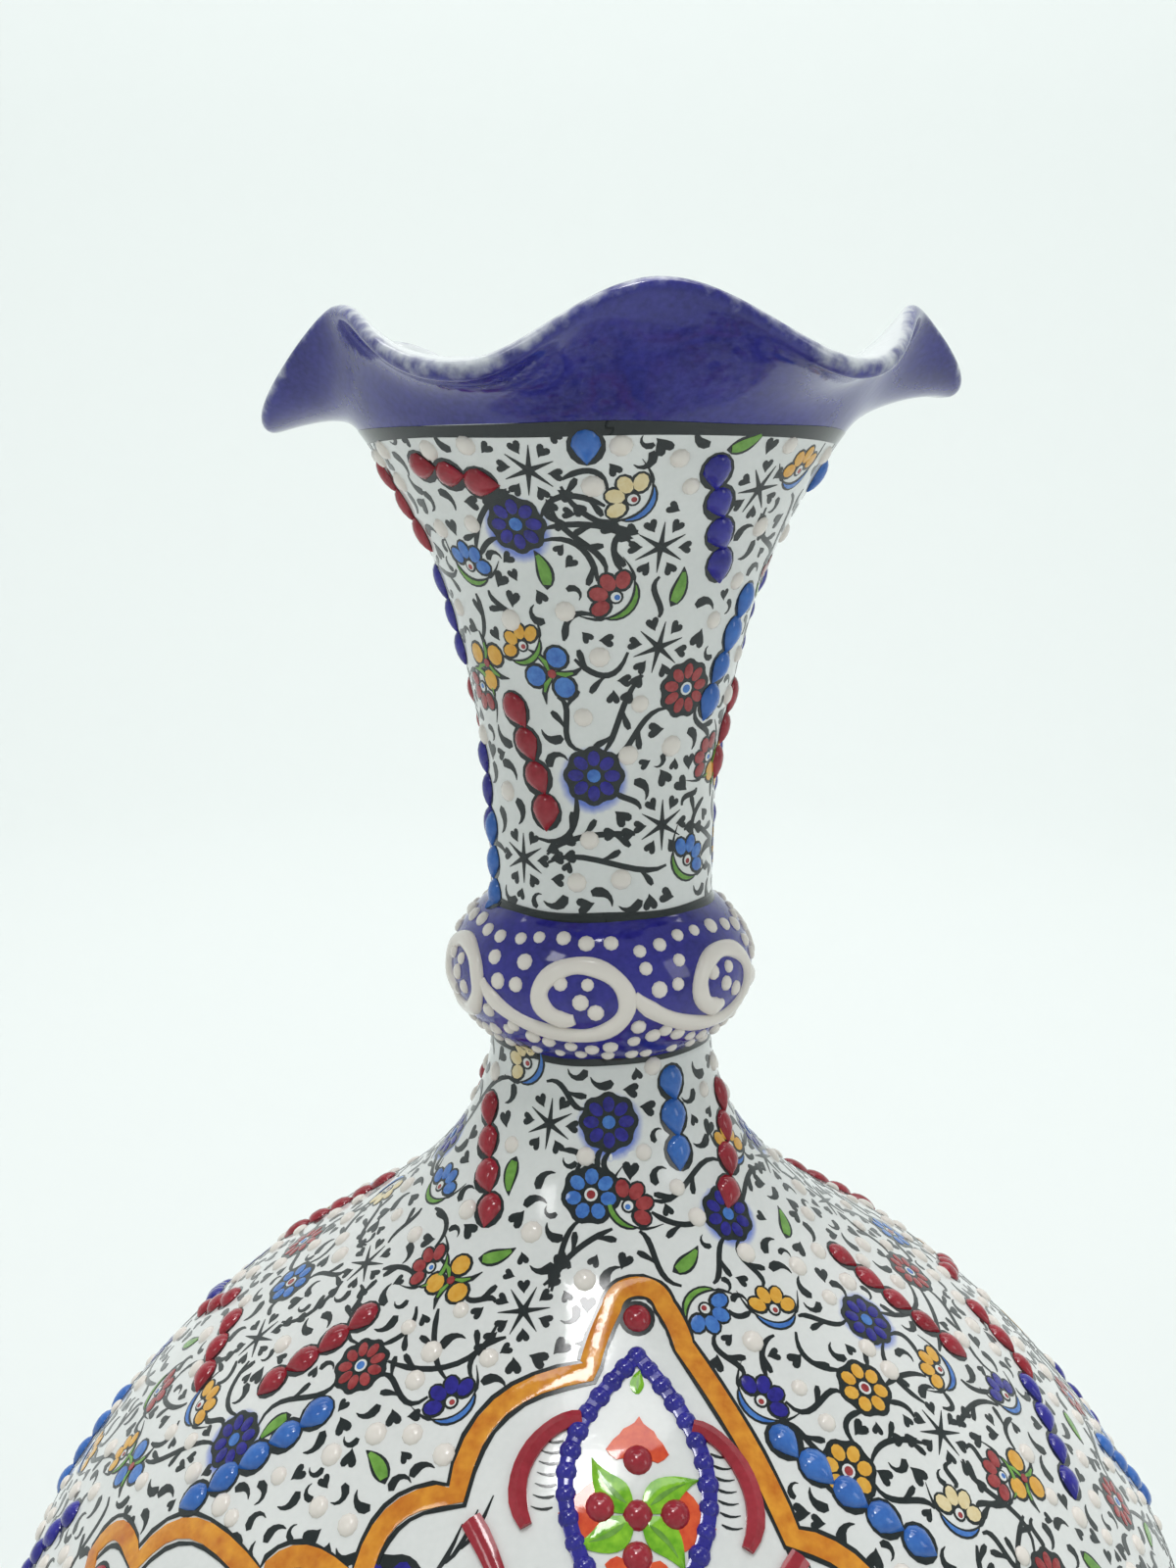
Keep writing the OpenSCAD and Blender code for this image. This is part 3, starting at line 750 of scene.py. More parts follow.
def halfFlower(color, calyx, eye="redPaint"):
    look, radius = halfFlowerLook, halfFlowerLook["radius"]
    ink, fills = [], []
    for k in range(look["petals"]):
        turn = look["spread"] * (k / (look["petals"] - 1) - 0.5)
        at, wide, long = (radius * part for part in look["petalInk"])
        ink.append(moved(spot(at, wide, long, rings=domed), turn=turn))
        at, wide, long = (radius * part for part in look["petal"])
        fills.append(moved(spot(at, wide, long, paintLift, look["petalDome"], domed, 10), turn=turn))
    ink.append(cupStroke(look["cupInk"], inkLift + 0.02))
    for end in (-1, 1):
        tail = [(end * radius * (0.80 + 0.12 * i), radius * (-0.02 + 0.05 * i * i))
                for i in range(len(look["tailWidths"]))]
        ink.append(flatStroke(tail, look["tailWidths"], inkLift + 0.01))
    eyes = {key: [radius * part for part in look[key]] for key in ("eyeInk", "eyeRing", "eye")}
    ink.append(spot(*eyes["eyeInk"], lift=inkLift + 0.03))
    return [("inkPaint", joined(*ink)),
            (color, joined(*fills)),
            (calyx, cupStroke(look["cup"], paintLift + 0.02)),
            ("whiteGlaze", spot(*eyes["eyeRing"], lift=paintLift + 0.03)),
            (eye, spot(*eyes["eye"], lift=topLift + 0.03, x=look["eyeAside"]))]


leafLook = {"length": 8.0, "width": 3.2, "bend": 40.0, "steps": 8, "fullness": 0.75, "edge": 0.95}


def leafShape():
    look, steps = leafLook, leafLook["steps"]
    path = arcPath(look["length"] * 1.4, -look["bend"] / 2, look["bend"], steps + 1)
    low = min(p[1] for p in path)
    path = [(y - low, x) for x, y in path]
    profile = [math.sin(math.pi * min(1, (i / steps) ** look["fullness"])) for i in range(steps + 1)]
    dark = flatStroke(path, [max(0.15, look["width"] * p + 0.15) for p in profile], inkLift)
    green = flatStroke(path[1:-1], [max(0.1, (look["width"] - look["edge"]) * p) for p in profile[1:-1]],
                       paintLift, 0.05)
    return [("inkPaint", dark), ("greenPaint", green)]


trefoilLook = {  # petals as shares of the radius, sepals in mm
    "radius": 4.8,
    "petalInk": (0.62, 0.98, 0.96),
    "petal": (0.63, 0.74, 0.74),
    "petalDome": 0.08,
    "sepalInk": {"path": [(0, 0.5), (0.5, 2.2), (0.4, 3.9), (-0.4, 5.6)], "widths": [0.9, 1.3, 1.0, 0.15]},
    "sepal": {"path": [(0, 0.8), (0.5, 2.2), (0.4, 3.6)], "widths": [0.4, 0.75, 0.3]},
    "eye": 1.5,
}


def trefoil(color, eye="redPaint"):
    look = trefoilLook
    ink, fill, sepals = [], [], []
    for turn in (0, 120, 240):
        at, wide, long = (look["radius"] * part for part in look["petalInk"])
        ink.append(moved(spot(at, wide, long, rings=domed), turn=turn))
        at, wide, long = (look["radius"] * part for part in look["petal"])
        fill.append(moved(spot(at, wide, long, paintLift, look["petalDome"], domed), turn=turn))
        dark, green = look["sepalInk"], look["sepal"]
        ink.append(moved(flatStroke(dark["path"], dark["widths"], inkLift + 0.04), turn=turn + 60))
        sepals.append(moved(flatStroke(green["path"], green["widths"], paintLift + 0.05), turn=turn + 60))
    return [("inkPaint", joined(*ink)), (color, joined(*fill)), ("greenPaint", joined(*sepals)),
            (eye, spot(0, look["eye"], lift=topLift + 0.04))]


def shifted(parts, x=0.0, y=0.0, turn=0.0, size=1.0):
    return [(color, moved(shape, x, y, turn, size)) for color, shape in parts]


bleed = {"radius": 7.6, "rings": (1.0, 0.9, 0.8, 0.66, 0.4), "tones": (0.0, 0.22, 0.6, 1.0, 1.0),
         "around": 24, "lift": 0.004, "dome": 0.05, "under": 0.05}


def putBleed(az, s):  # cobalt that ran into the glaze around a flower
    look = bleed
    outline = ellipse(0, 0, 2 * look["radius"], 2 * look["radius"], count=look["around"])
    tones = [tone for tone in look["tones"] for _ in outline] + [1.0] + [0.0] * (len(outline) + 1)
    shape = flatShape(outline, look["lift"], look["dome"], rings=look["rings"], under=look["under"])
    wrap("bleedPaint", shape, az, s, tones=tones)


motifs = {
    "heart": [("inkPaint", heartShape())],
    "comma": [("inkPaint", curlShape(strokes["comma"]))],
    "hook": [("inkPaint", curlShape(strokes["hook"]))],
    "star": [("inkPaint", starShape())],
    "cobaltRosette": rosette(8, "cobaltPaint", "bluePaint", "bluePaint"),
    "blueRosette": rosette(7, "bluePaint", "redPaint"),
    "redRosette": rosette(9, "redPaint", "bluePaint"),
    "yellowRosette": rosette(7, "yellowPaint", "redPaint"),
    "creamPalmette": halfFlower("creamPaint", "bluePaint"),
    "redPalmette": halfFlower("redPaint", "greenPaint", "bluePaint"),
    "yellowPalmette": halfFlower("yellowPaint", "bluePaint"),
    "cobaltPalmette": halfFlower("cobaltPaint", "bluePaint"),
    "bluePalmette": halfFlower("bluePaint", "greenPaint"),
    "twinYellowBlue": shifted(halfFlower("yellowPaint", "greenPaint"), -2.8, 2.8, -35, 0.9)
    + shifted(trefoil("bluePaint"), 2.3, -1.9, 20, 1.1),
    "twinRedYellow": shifted(halfFlower("redPaint", "greenPaint", "bluePaint"), -3.0, 0.6, -80, 0.95)
    + shifted(trefoil("yellowPaint"), 2.6, 0.2, 0, 1.1),
    "leaf": leafShape(),
}
# how far each motif reaches from its middle
flowerReach = 5.4
reach = {"star": 6.0, "leaf": 3.8, "twinYellowBlue": 7.2, "twinRedYellow": 7.2, "heart": 1.5, "comma": 2.05,
         "hook": 1.8}


# layers: everything of one colour in one region is one piece

layers = {}


def bandOf(s):
    return "neck" if s > neckStart else "shoulder" if s > bellyLine else "bowl"


def regionOf(s, az):
    return bandOf(s) + ("Front" if math.cos(math.radians(az)) > 0 else "Back")


def addTo(color, region, points, faces, tones=None):
    layer = layers.setdefault((color, region), {"points": [], "faces": [], "count": 0, "tones": []})
    base = layer["count"]
    layer["points"].append(points)
    layer["faces"] += [tuple(i + base for i in face) for face in faces]
    layer["count"] += len(points)
    layer["tones"] += tones or []


def wrap(color, shape, az, s, turn=0.0, size=1.0, region=None, tones=None):
    points, faces = moved(shape, 0, 0, turn, size)
    along = s + points[:, 1]
    around = math.radians(az) + points[:, 0] / radiusAt(along)
    placed = onWall(around, along, points[:, 2] * min(size, 1))
    addTo(color, region or regionOf(s, az), placed, faces, tones)


def wrapSection(color, az, s, widths, sides, heights, region):  # az in degrees
    az, s = np.radians(np.asarray(az, float)), np.asarray(s, float)
    widths = np.broadcast_to(np.asarray(widths, float), s.shape)
    r = radiusAt(s)
    across, up = np.gradient(az) * r, np.gradient(s)
    length = np.maximum(np.hypot(across, up), 1e-9)
    sideAz, sideS = -up / length * widths / 2, across / length * widths / 2
    rows = [onWall(az + k * sideAz / r, s + k * sideS, height) for k, height in zip(sides, heights)]
    addTo(color, region, np.stack(rows, axis=1).reshape(-1, 3), ribbonFaces(len(s), len(rows)))


def wrapStroke(color, az, s, widths, lift, dome=0.0, under=0.08, region=None):
    region = region or regionOf(float(np.mean(s)), float(np.mean(az)))
    sides, heights = zip(*strokeSection(lift, dome, under))
    wrapSection(color, az, s, widths, sides, heights, region)


def putMotif(kind, az, s, turn=0.0, size=1.0, region=None):
    for color, shape in motifs[kind]:
        wrap(color, shape, az, s, turn, size, region)


# raised enamel: each lump is modelled once with a primitive, then wrapped like the patterns

def takeShape(piece):
    points = np.array([v.co[:] for v in piece.data.vertices])
    faces = [tuple(p.vertices) for p in piece.data.polygons]
    bpy.data.objects.remove(piece)
    return points, faces


def lumpShape(width, length, height, segments=12, rings=8, tip=0.0, skirt=0.35):
    bpy.ops.object.select_all(action="DESELECT")
    bpy.ops.mesh.primitive_uv_sphere_add(segments=segments, ring_count=rings, radius=1)
    piece = bpy.context.object
    bpy.ops.object.mode_set(mode="EDIT")
    bpy.ops.mesh.select_all(action="SELECT")
    bpy.ops.mesh.bisect(plane_co=(0, 0, 0), plane_no=(0, 0, 1), clear_inner=True)
    bpy.ops.mesh.select_mode(type="EDGE")
    bpy.ops.mesh.extrude_region_move(TRANSFORM_OT_translate={"value": (0, 0, -skirt / height)})
    bpy.ops.mesh.fill()
    bpy.ops.mesh.select_all(action="SELECT")
    bpy.ops.transform.resize(value=(width / 2, length / 2, height))
    bpy.ops.mesh.normals_make_consistent(inside=False)
    bpy.ops.object.mode_set(mode="OBJECT")
    if tip:
        for v in piece.data.vertices:
            t = max(0.0, -v.co.y / (length / 2))
            v.co.x *= 1 - tip * t ** 1.6
            v.co.y *= 1 + 0.25 * tip * t
    return takeShape(piece)


# width, length and height of each lump
raised = {
    "dot": lumpShape(3.9, 3.9, 0.95, 10, 6),
    "collarDot": lumpShape(3.0, 3.0, 0.85, 10, 6),
    "bead": lumpShape(3.8, 3.8, 1.5, 12, 6),
    "redBead": lumpShape(5.2, 5.2, 1.8, 16, 8),
    "petal": lumpShape(5.8, 6.9, 1.9, 12, 8, tip=0.85),
}

# petal chains: direction and height of the first petal, heading, number of petals
chains = {
    "redEnamel": [(-50, 373, 105, 3), (-40, 329, 165, 4), (82, 330, 195, 3), (98, 372, 160, 3),
                  (-62, 248, 150, 4), (75, 249, 215, 4), (70, 219, 180, 5), (88, 199, 215, 3),
                  (-53, 215, 195, 4), (-82, 201, 120, 3), (74, 150, 200, 4), (88, 92, 170, 5),
                  (62, 40, 190, 4)],
    "cobaltEnamel": [(28, 372, 155, 4), (-84, 352, 170, 3), (100, 318, 175, 3),
                     (78, 191, 235, 4), (-76, 168, 200, 4), (99, 130, 185, 4), (-72, 60, 160, 4)],
    "blueEnamel": [(-4, 376, 180, 1), (62, 349, 195, 4), (-73, 304, 175, 3), (-100, 372, 180, 1),
                   (36, 256, 185, 3), (27, 207, 150, 5), (-46, 205, 205, 5), (85, 172, 160, 4),
                   (-80, 118, 190, 4), (80, 66, 200, 4)],
}
chainLook = {"step": 6.7, "wobble": 16.0, "sizes": (0.92, 1.05), "ink": (6.7, 7.6), "inkLift": 0.09,
             "keepOff": 3.4}


# a record of what is already on the wall, so that the fill keeps clear of it

taken = {}
cell = 6.0


def cellsNear(p, spread):
    span = int(spread // cell) + 1
    i, j, k = (int(math.floor(v / cell)) for v in p)
    for a in range(i - span, i + span + 1):
        for b in range(j - span, j + span + 1):
            for c in range(k - span, k + span + 1):
                if (a, b, c) in taken:
                    yield from taken[(a, b, c)]


def claim(az, s, size, kind):
    p = onWall(math.radians(az), s) / mm
    key = tuple(int(math.floor(v / cell)) for v in p)
    taken.setdefault(key, []).append((p, size, kind))


def roomFor(az, s, size, ignore=(), spread=8.0):
    p = onWall(math.radians(az), s) / mm
    for q, other, kind in cellsNear(p, size + spread):
        if kind in ignore:
            continue
        if (p[0] - q[0]) ** 2 + (p[1] - q[1]) ** 2 + (p[2] - q[2]) ** 2 < (size + other) ** 2:
            return False
    return True


# medallions

medallion = {
    "halfWidth": 122.0,
    "halfHeight": 100.0,
    "lean": 8.0,
    "turn": 8.5,
    "top": 288.0,      # length of the wall up to the top tip
    "borderWidth": 3.6,
    "borderHeight": 0.45,
    "outline": 0.8,
    "outlineGap": 0.15,
    "reach": 70.0,     # mean distance of the outline from the middle
}
# corners of the outline from the top tip to the side: across, down, and how far the edge after it bulges
quarter = [(0, 0, 0), (0.038, 0.045, 0.012), (0.07, 0.17, 0.004), (0.25, 0.44, 0.055), (0.38, 0.65, 0.045),
           (0.55, 0.73, 0.045), (0.845, 0.9, 0.06), (1, 1, 0.035)]
flatQuarter = [(0, 0, 0), (0.042, 0.035, 0.012), (0.07, 0.11, 0.004), (0.216, 0.44, 0.01)] + quarter[4:]


def cuspedEdge(corners, steps=8):
    w, h = medallion["halfWidth"], medallion["halfHeight"]
    edge = []
    for (ax, ay, _), (bx, by, bulge) in zip(corners, corners[1:]):
        a, b = np.array([ax * w, (ay - 1) * h]), np.array([bx * w, (by - 1) * h])
        d = b - a
        out = np.array([d[1], -d[0]]) / np.hypot(*d)
        for t in (i / steps for i in range(steps)):
            edge.append(a + t * d + 4 * t * (1 - t) * bulge * h * out)
    return np.array(edge)


def medallionOutline():
    w, h = medallion["halfWidth"], medallion["halfHeight"]
    edge = cuspedEdge(quarter)
    right = np.concatenate([cuspedEdge(flatQuarter), [(w, 0)], (edge * (1, -1))[:0:-1]])
    left = np.concatenate([[(0, h)], (edge * (-1, -1))[1:], [(-w, 0)], (edge * (-1, 1))[:0:-1]])
    return np.concatenate([right, left])


def onMedallion(x, y, side):  # x right and y down from its middle, to degrees and mm on the wall
    x, y = np.asarray(x, float), np.asarray(y, float) + medallion["halfHeight"]
    c, s = math.cos(math.radians(medallion["lean"])), math.sin(math.radians(medallion["lean"]))
    along = medallion["top"] - x * s - y * c
    return side + medallion["turn"] + np.degrees((x * c - y * s) / radiusAt(along)), along


def fromMedallion(az, s, side):
    turn = (az - side - medallion["turn"] + 180) % 360 - 180
    u, v = math.radians(turn) * float(radiusAt(s)), medallion["top"] - s
    c, t = math.cos(math.radians(medallion["lean"])), math.sin(math.radians(medallion["lean"]))
    return u * c + v * t, v * c - u * t - medallion["halfHeight"]


outlinePoints = medallionOutline()


def insideMedallion(az, s, margin=0.0):
    for side in (0, 180):
        x, y = fromMedallion(az, s, side)
        if abs(x) > medallion["halfWidth"] + margin or abs(y) > medallion["halfHeight"] + margin:
            continue
        grow = 1 + margin / medallion["reach"]
        px, py = outlinePoints[:, 0] * grow, outlinePoints[:, 1] * grow
        qx, qy = np.roll(px, -1), np.roll(py, -1)
        crossing = ((py > y) != (qy > y)) & (x < (qx - px) * (y - py) / (qy - py + 1e-12) + px)
        if crossing.sum() % 2:
            return True
    return False


def sideName(side):
    return "front" if side == 0 else "back"


def medallionStroke(color, path, widths, lift, side, dome=0.0, under=0.08):
    x, y = np.asarray(path, float).T
    az, s = onMedallion(x, y, side)
    wrapStroke(color, az, s, widths, lift, dome, under, region=sideName(side))


def medallionMotif(parts, x, y, turn, side, size=1.0):
    az, s = onMedallion(x, y, side)
    for color, shape in parts:
        wrap(color, shape, float(az), float(s), turn + medallion["lean"], size, region=sideName(side))


def medallionBead(kind, color, x, y, side, group, turn=0, size=1):
    az, s = onMedallion(x, y, side)
    wrap(color, raised[kind], float(az), float(s), turn, size, region=sideName(side) + group)


def turnedPath(path, angle, x, y):
    c, s = math.cos(math.radians(angle)), math.sin(math.radians(angle))
    return [(x + px * c - py * s, y + px * s + py * c) for px, py in path]


def offsetClosed(points, distance):
    way = np.roll(points, -1, axis=0) - np.roll(points, 1, axis=0)
    way = way / np.hypot(*way.T)[:, None]
    return points + distance * np.stack([way[:, 1], -way[:, 0]], axis=-1)


def closedPath(points):
    return np.concatenate([points, points[:2]])


brightLeaf = {"widths": [1.4, 3.6, 5.0, 5.6, 5.4, 4.6, 3.5, 2.3, 1.1, 0.15], "start": 1.4, "length": 10.4,
              "lift": 0.28, "dome": 0.35, "veinWidths": [0.1, 0.7, 0.9, 0.8, 0.6, 0.4, 0.1],
              "veinAside": 0.15, "veinLift": 0.64}


def leafBlade():  # bright leaf with a pointed, curled end, growing up from the origin
    look = brightLeaf
    last = len(look["widths"]) - 1
    path = [(1.5 * (i / last) ** 2.5 - 0.5 * math.sin(i / 3), look["start"] + look["length"] * i / last)
            for i in range(last + 1)]
    vein = [(x + look["veinAside"], y) for x, y in path[1:8]]
    return [("leafEnamel", flatStroke(path, look["widths"], look["lift"], look["dome"])),
            ("greenPaint", flatStroke(vein, look["veinWidths"], look["veinLift"]))]


tulip = {
    # right half from the middle point down to the stem
    "half": [(0, 6.3), (0.9, 4.9), (2.0, 4.1), (3.0, 3.5), (3.7, 2.3), (4.8, 1.2), (6.1, -0.9), (5.2, -1.9),
             (4.0, -2.6), (2.6, -2.2), (1.2, -1.0), (0, -0.6)],
    "lift": 0.22,
    "dome": 0.12,
}


def tulipHead():  # three-pointed vermilion flower, opening upwards
    outline = tulip["half"] + [(-x, y) for x, y in tulip["half"][-2:0:-1]]
    return [("vermilionEnamel", flatShape(outline, tulip["lift"], tulip["dome"], rings=(1.0, 0.7, 0.4)))]


def paintBorder(side):
    m = medallion
    band = closedPath(outlinePoints)
    medallionStroke("amberGlaze", band, m["borderWidth"], m["borderHeight"] - 0.2, side, 0.22, 0.2)
    for edge in (-1, 1):
        line = closedPath(offsetClosed(outlinePoints, edge * (m["borderWidth"] / 2 + m["outlineGap"])))
        wobble = [m["outline"] * (0.7 + 0.6 * dice.random()) for _ in line]
        medallionStroke("inkPaint", line, wobble, 0.16, side)


almond = {
    "places": [(0, -63, 0), (0, 63, 180), (-72, 0, 270), (72, 0, 90)],   # x, y and turn of each
    "halfWidth": 12,
    "halfHeight": 24,
    "pinch": 0.3,
    "beads": 30,
    "beadSizes": (0.94, 1.06),
    "ropeWidth": 2.6,
    "redBeads": [(0, -5.5), (0, 3.5), (6.2, 3), (-6.2, 3), (0, 10)],
    "leaves": [-52, 52, 128, 232],
    "leavesAt": (0, 3.5),
    "leafSize": 0.98,
    "tulips": [(0, -7.5, 0), (7.6, 4.2, 100), (-7.6, 4.2, 260), (0, 12.5, 180)],
    "tulipSize": 0.88,
    "tipLeafAt": (0, -19),
    "tipLeafSize": 0.45,
}
redTrail = {"lift": 0.7, "dome": 0.65, "under": 0.2}
redStroke = {"ends": [(9.5, -11.5), (15.5, -10.5), (23.5, 1.5), (18.2, 8.4)],
             "widths": [2.4, 2.7, 2.8, 2.8, 2.8, 2.9, 3.0, 3.0, 3.0, 3.0, 3.1, 3.1, 2.7, 2.1],
             "feathers": 7, "featherWidths": [0.25, 0.5, 0.4, 0.3, 0.1]}
featherLift = 0.09


def almondPoint(t):  # two arcs that meet in tips and are pinched towards them
    w, h = almond["halfWidth"], almond["halfHeight"]
    flip, u = (1, 4 * t - 1) if t < 0.5 else (-1, 3 - 4 * t)
    r = (h * h + w * w) / (2 * w)
    a = math.asin(h / r) * u
    y = r * math.sin(a)
    return (flip * (r * math.cos(a) - r + w) * (1 - almond["pinch"] * (y / h) ** 2), y)


def paintRope(ax, ay, turn, side):
    count = almond["beads"]
    for i in range(count):
        x, y = turnedPath([almondPoint(i / count)], turn, ax, ay)[0]
        turned, size = dice.uniform(0, 90), dice.uniform(*almond["beadSizes"])
        medallionBead("bead", "cobaltEnamel", x, y, side, "Rope", turned, size)
    rope = turnedPath([almondPoint(i / (2 * count) % 1) for i in range(2 * count + 2)], turn, ax, ay)
    medallionStroke("cobaltEnamel", rope, almond["ropeWidth"], 0.5, side, 0.3, 0.2)


def paintRedStrokes(ax, ay, turn, side):
    look = redStroke
    for flip in (-1, 1):
        curve = bezier(*np.array(look["ends"]), len(look["widths"])) * (flip, 1)
        medallionStroke("redEnamel", turnedPath(curve, turn, ax, ay), look["widths"], side=side, **redTrail)
        for k in range(look["feathers"]):
            feather = [(flip * (12.5 + 0.25 * k + 0.9 * i), -7 + 1.9 * k + 0.55 * i - 0.1 * i * i)
                       for i in range(len(look["featherWidths"]))]
            medallionStroke("inkPaint", turnedPath(feather, turn, ax, ay), look["featherWidths"],
                            featherLift, side)


def paintAlmond(ax, ay, turn, side):
    look = almond
    paintRope(ax, ay, turn, side)
    paintRedStrokes(ax, ay, turn, side)
    for x, y in turnedPath(look["redBeads"], turn, ax, ay):
        medallionBead("redBead", "redEnamel", x, y, side, "Beads")
    x, y = turnedPath([look["leavesAt"]], turn, ax, ay)[0]
    for angle in look["leaves"]:
        medallionMotif(leafBlade(), x, y, turn + angle, side, look["leafSize"])
    for dx, dy, angle in look["tulips"]:
        x, y = turnedPath([(dx, dy)], turn, ax, ay)[0]
        medallionMotif(tulipHead(), x, y, turn + angle, side, look["tulipSize"])
    x, y = turnedPath([look["tipLeafAt"]], turn, ax, ay)[0]
    medallionMotif(leafBlade(), x, y + 2.5, turn, side, look["tipLeafSize"])


tipBeads = {"places": [(0, -94), (0, 94), (-115.5, 0), (115.5, 0)], "ink": 6.6, "lift": 0.1, "size": 1.02}
cornerFlower = {
    "at": (42, 33),
    "petals": 9,
    "radius": 9.5,
    "sprays": 3,
    "sprayWidths": [0.2, 0.6, 0.9, 0.7, 0.4, 0.1],
    "strokeWidths": [3.6, 3.7, 3.4, 3.0, 2.7, 2.5, 2.3, 1.6],
}
middleFlower = {"petals": 12, "radius": 17, "around": 8, "ring": 24, "size": 0.9}


def paintTips(side):
    look = tipBeads
    for x, y in look["places"]:
        az, s = onMedallion(x, y, side)
        ink = spot(0, look["ink"], lift=look["lift"], rings=domed, count=18)
        wrap("inkPaint", ink, float(az), float(s), region=sideName(side))
        medallionBead("redBead", "redEnamel", x, y, side, "Beads", size=look["size"])


def paintCorner(fx, fy, side):
    look = cornerFlower
    flower = rosette(look["petals"], "cobaltPaint", "redPaint", radius=look["radius"])
    medallionMotif(flower, fx * look["at"][0], fy * look["at"][1], 0, side)
    for k in range(look["sprays"]):
        spray = [(fx * (24 + 2.5 * k + 1.2 * i), fy * (58 - 3 * k - 3.6 * i + 0.3 * i * i))
                 for i in range(len(look["sprayWidths"]))]
        medallionStroke("inkPaint", spray, look["sprayWidths"], featherLift, side)
    stroke = [(fx * (27.5 - 1.6 * i), fy * (53 - 1.5 * i - 0.22 * i * i))
              for i in range(len(look["strokeWidths"]))]
    medallionStroke("redEnamel", stroke, look["strokeWidths"], side=side, **redTrail)


def buildMedallion(side):
    paintBorder(side)
    for ax, ay, turn in almond["places"]:
        paintAlmond(ax, ay, turn, side)
    paintTips(side)
    for fx in (-1, 1):
        for fy in (-1, 1):
            paintCorner(fx, fy, side)
    look = middleFlower
    medallionMotif(rosette(look["petals"], "cobaltPaint", "redPaint", radius=look["radius"]), 0, 0, 0, side)
    for k in range(look["around"]):
        angle = (k + 0.5) * 360 / look["around"]
        x, y = look["ring"] * math.sin(math.radians(angle)), -look["ring"] * math.cos(math.radians(angle))
        medallionMotif(leafBlade() if k % 2 else tulipHead(), x, y, angle, side, look["size"])
    print(sideName(side), "medallion done")


# the ground: flowers, stars and raised petals in set places, the rest filled in between

# kind, direction, height and turn of each one in a set place
flowers = [
    ("cobaltRosette", -25, 363, 0), ("creamPalmette", 8, 367, -55), ("star", -18, 372, 10),
    ("star", 17, 359, 0), ("star", 44, 369, 20), ("star", 21, 341, 10), ("star", 30, 307, 0),
    ("star", -42, 300, 0), ("redPalmette", 5, 350, -55), ("leaf", -20, 355, -10), ("leaf", 25, 352, 10),
    ("leaf", 33, 377, 60), ("twinYellowBlue", -25, 338, 0), ("redRosette", 36, 333, 0),
    ("cobaltRosette", -4, 317, 0), ("twinRedYellow", 67, 317, 20), ("bluePalmette", 46, 299, 40),
    ("twinRedYellow", -55, 335, -60), ("bluePalmette", -48, 355, 20), ("yellowPalmette", 58, 372, -20),
    ("redPalmette", 80, 352, 10), ("cobaltRosette", 92, 300, 0), ("star", -85, 330, 0),
    ("yellowRosette", -88, 300, 0), ("creamPalmette", -39, 259, -60), ("cobaltRosette", 3, 250, 0),
    ("cobaltRosette", 43, 232, 0), ("cobaltRosette", 58, 213, 0), ("cobaltRosette", -56, 197, 0),
    ("blueRosette", -4, 238, 0), ("blueRosette", -80, 210, 0), ("redPalmette", 8, 236, 60),
    ("star", -24, 249, 0), ("star", 52, 200, 0), ("twinRedYellow", -42, 223, 0), ("leaf", -30, 228, 60),
    ("leaf", 23, 228, 60), ("bluePalmette", 23, 222, 150), ("leaf", -32, 203, -60),
    ("yellowPalmette", 39, 219, 20), ("yellowPalmette", 62, 204, -30), ("yellowPalmette", -68, 195, 30),
    ("cobaltPalmette", -25, 211, -50), ("cobaltPalmette", 26, 211, 60), ("yellowRosette", 34, 202, 0),
    ("twinRedYellow", 58, 190, 30), ("cobaltPalmette", 70, 195, 20), ("redRosette", -45, 211, 0),
    ("star", -18, 222, 15), ("star", -66, 219, 0), ("redRosette", 84, 210, 0),
    ("bluePalmette", -66, 232, 0), ("yellowPalmette", 62, 240, 30), ("leaf", -35, 239, 170),
    ("leaf", -51, 201, 200), ("star", 84, 234, 0), ("cobaltRosette", -88, 238, 0),
    ("twinYellowBlue", -72, 182, -60),
]
fillKinds = ["cobaltRosette", "star", "twinRedYellow", "star", "blueRosette", "yellowPalmette", "star",
             "redRosette", "leaf", "cobaltPalmette", "star", "yellowRosette", "redPalmette",
             "twinYellowBlue", "star", "creamPalmette", "leaf", "bluePalmette"]


def bezier(a, b, c, d, count):
    t = np.linspace(0, 1, count)[:, None]
    return (1 - t) ** 3 * a + 3 * t * (1 - t) ** 2 * b + 3 * t * t * (1 - t) * c + t ** 3 * d


def openGround(s, below, above, end):  # on white glaze, clear of the collar and of both ends
    return 13 <= s <= wallEnd - end and not collarStart - below < s < neckStart + above


ground = {"tries": 9000, "low": 16.0, "high": 6.0, "offCollar": 6.0, "gap": 2.4, "offMedallion": 3.0,
          "setOffMedallion": 4.5}


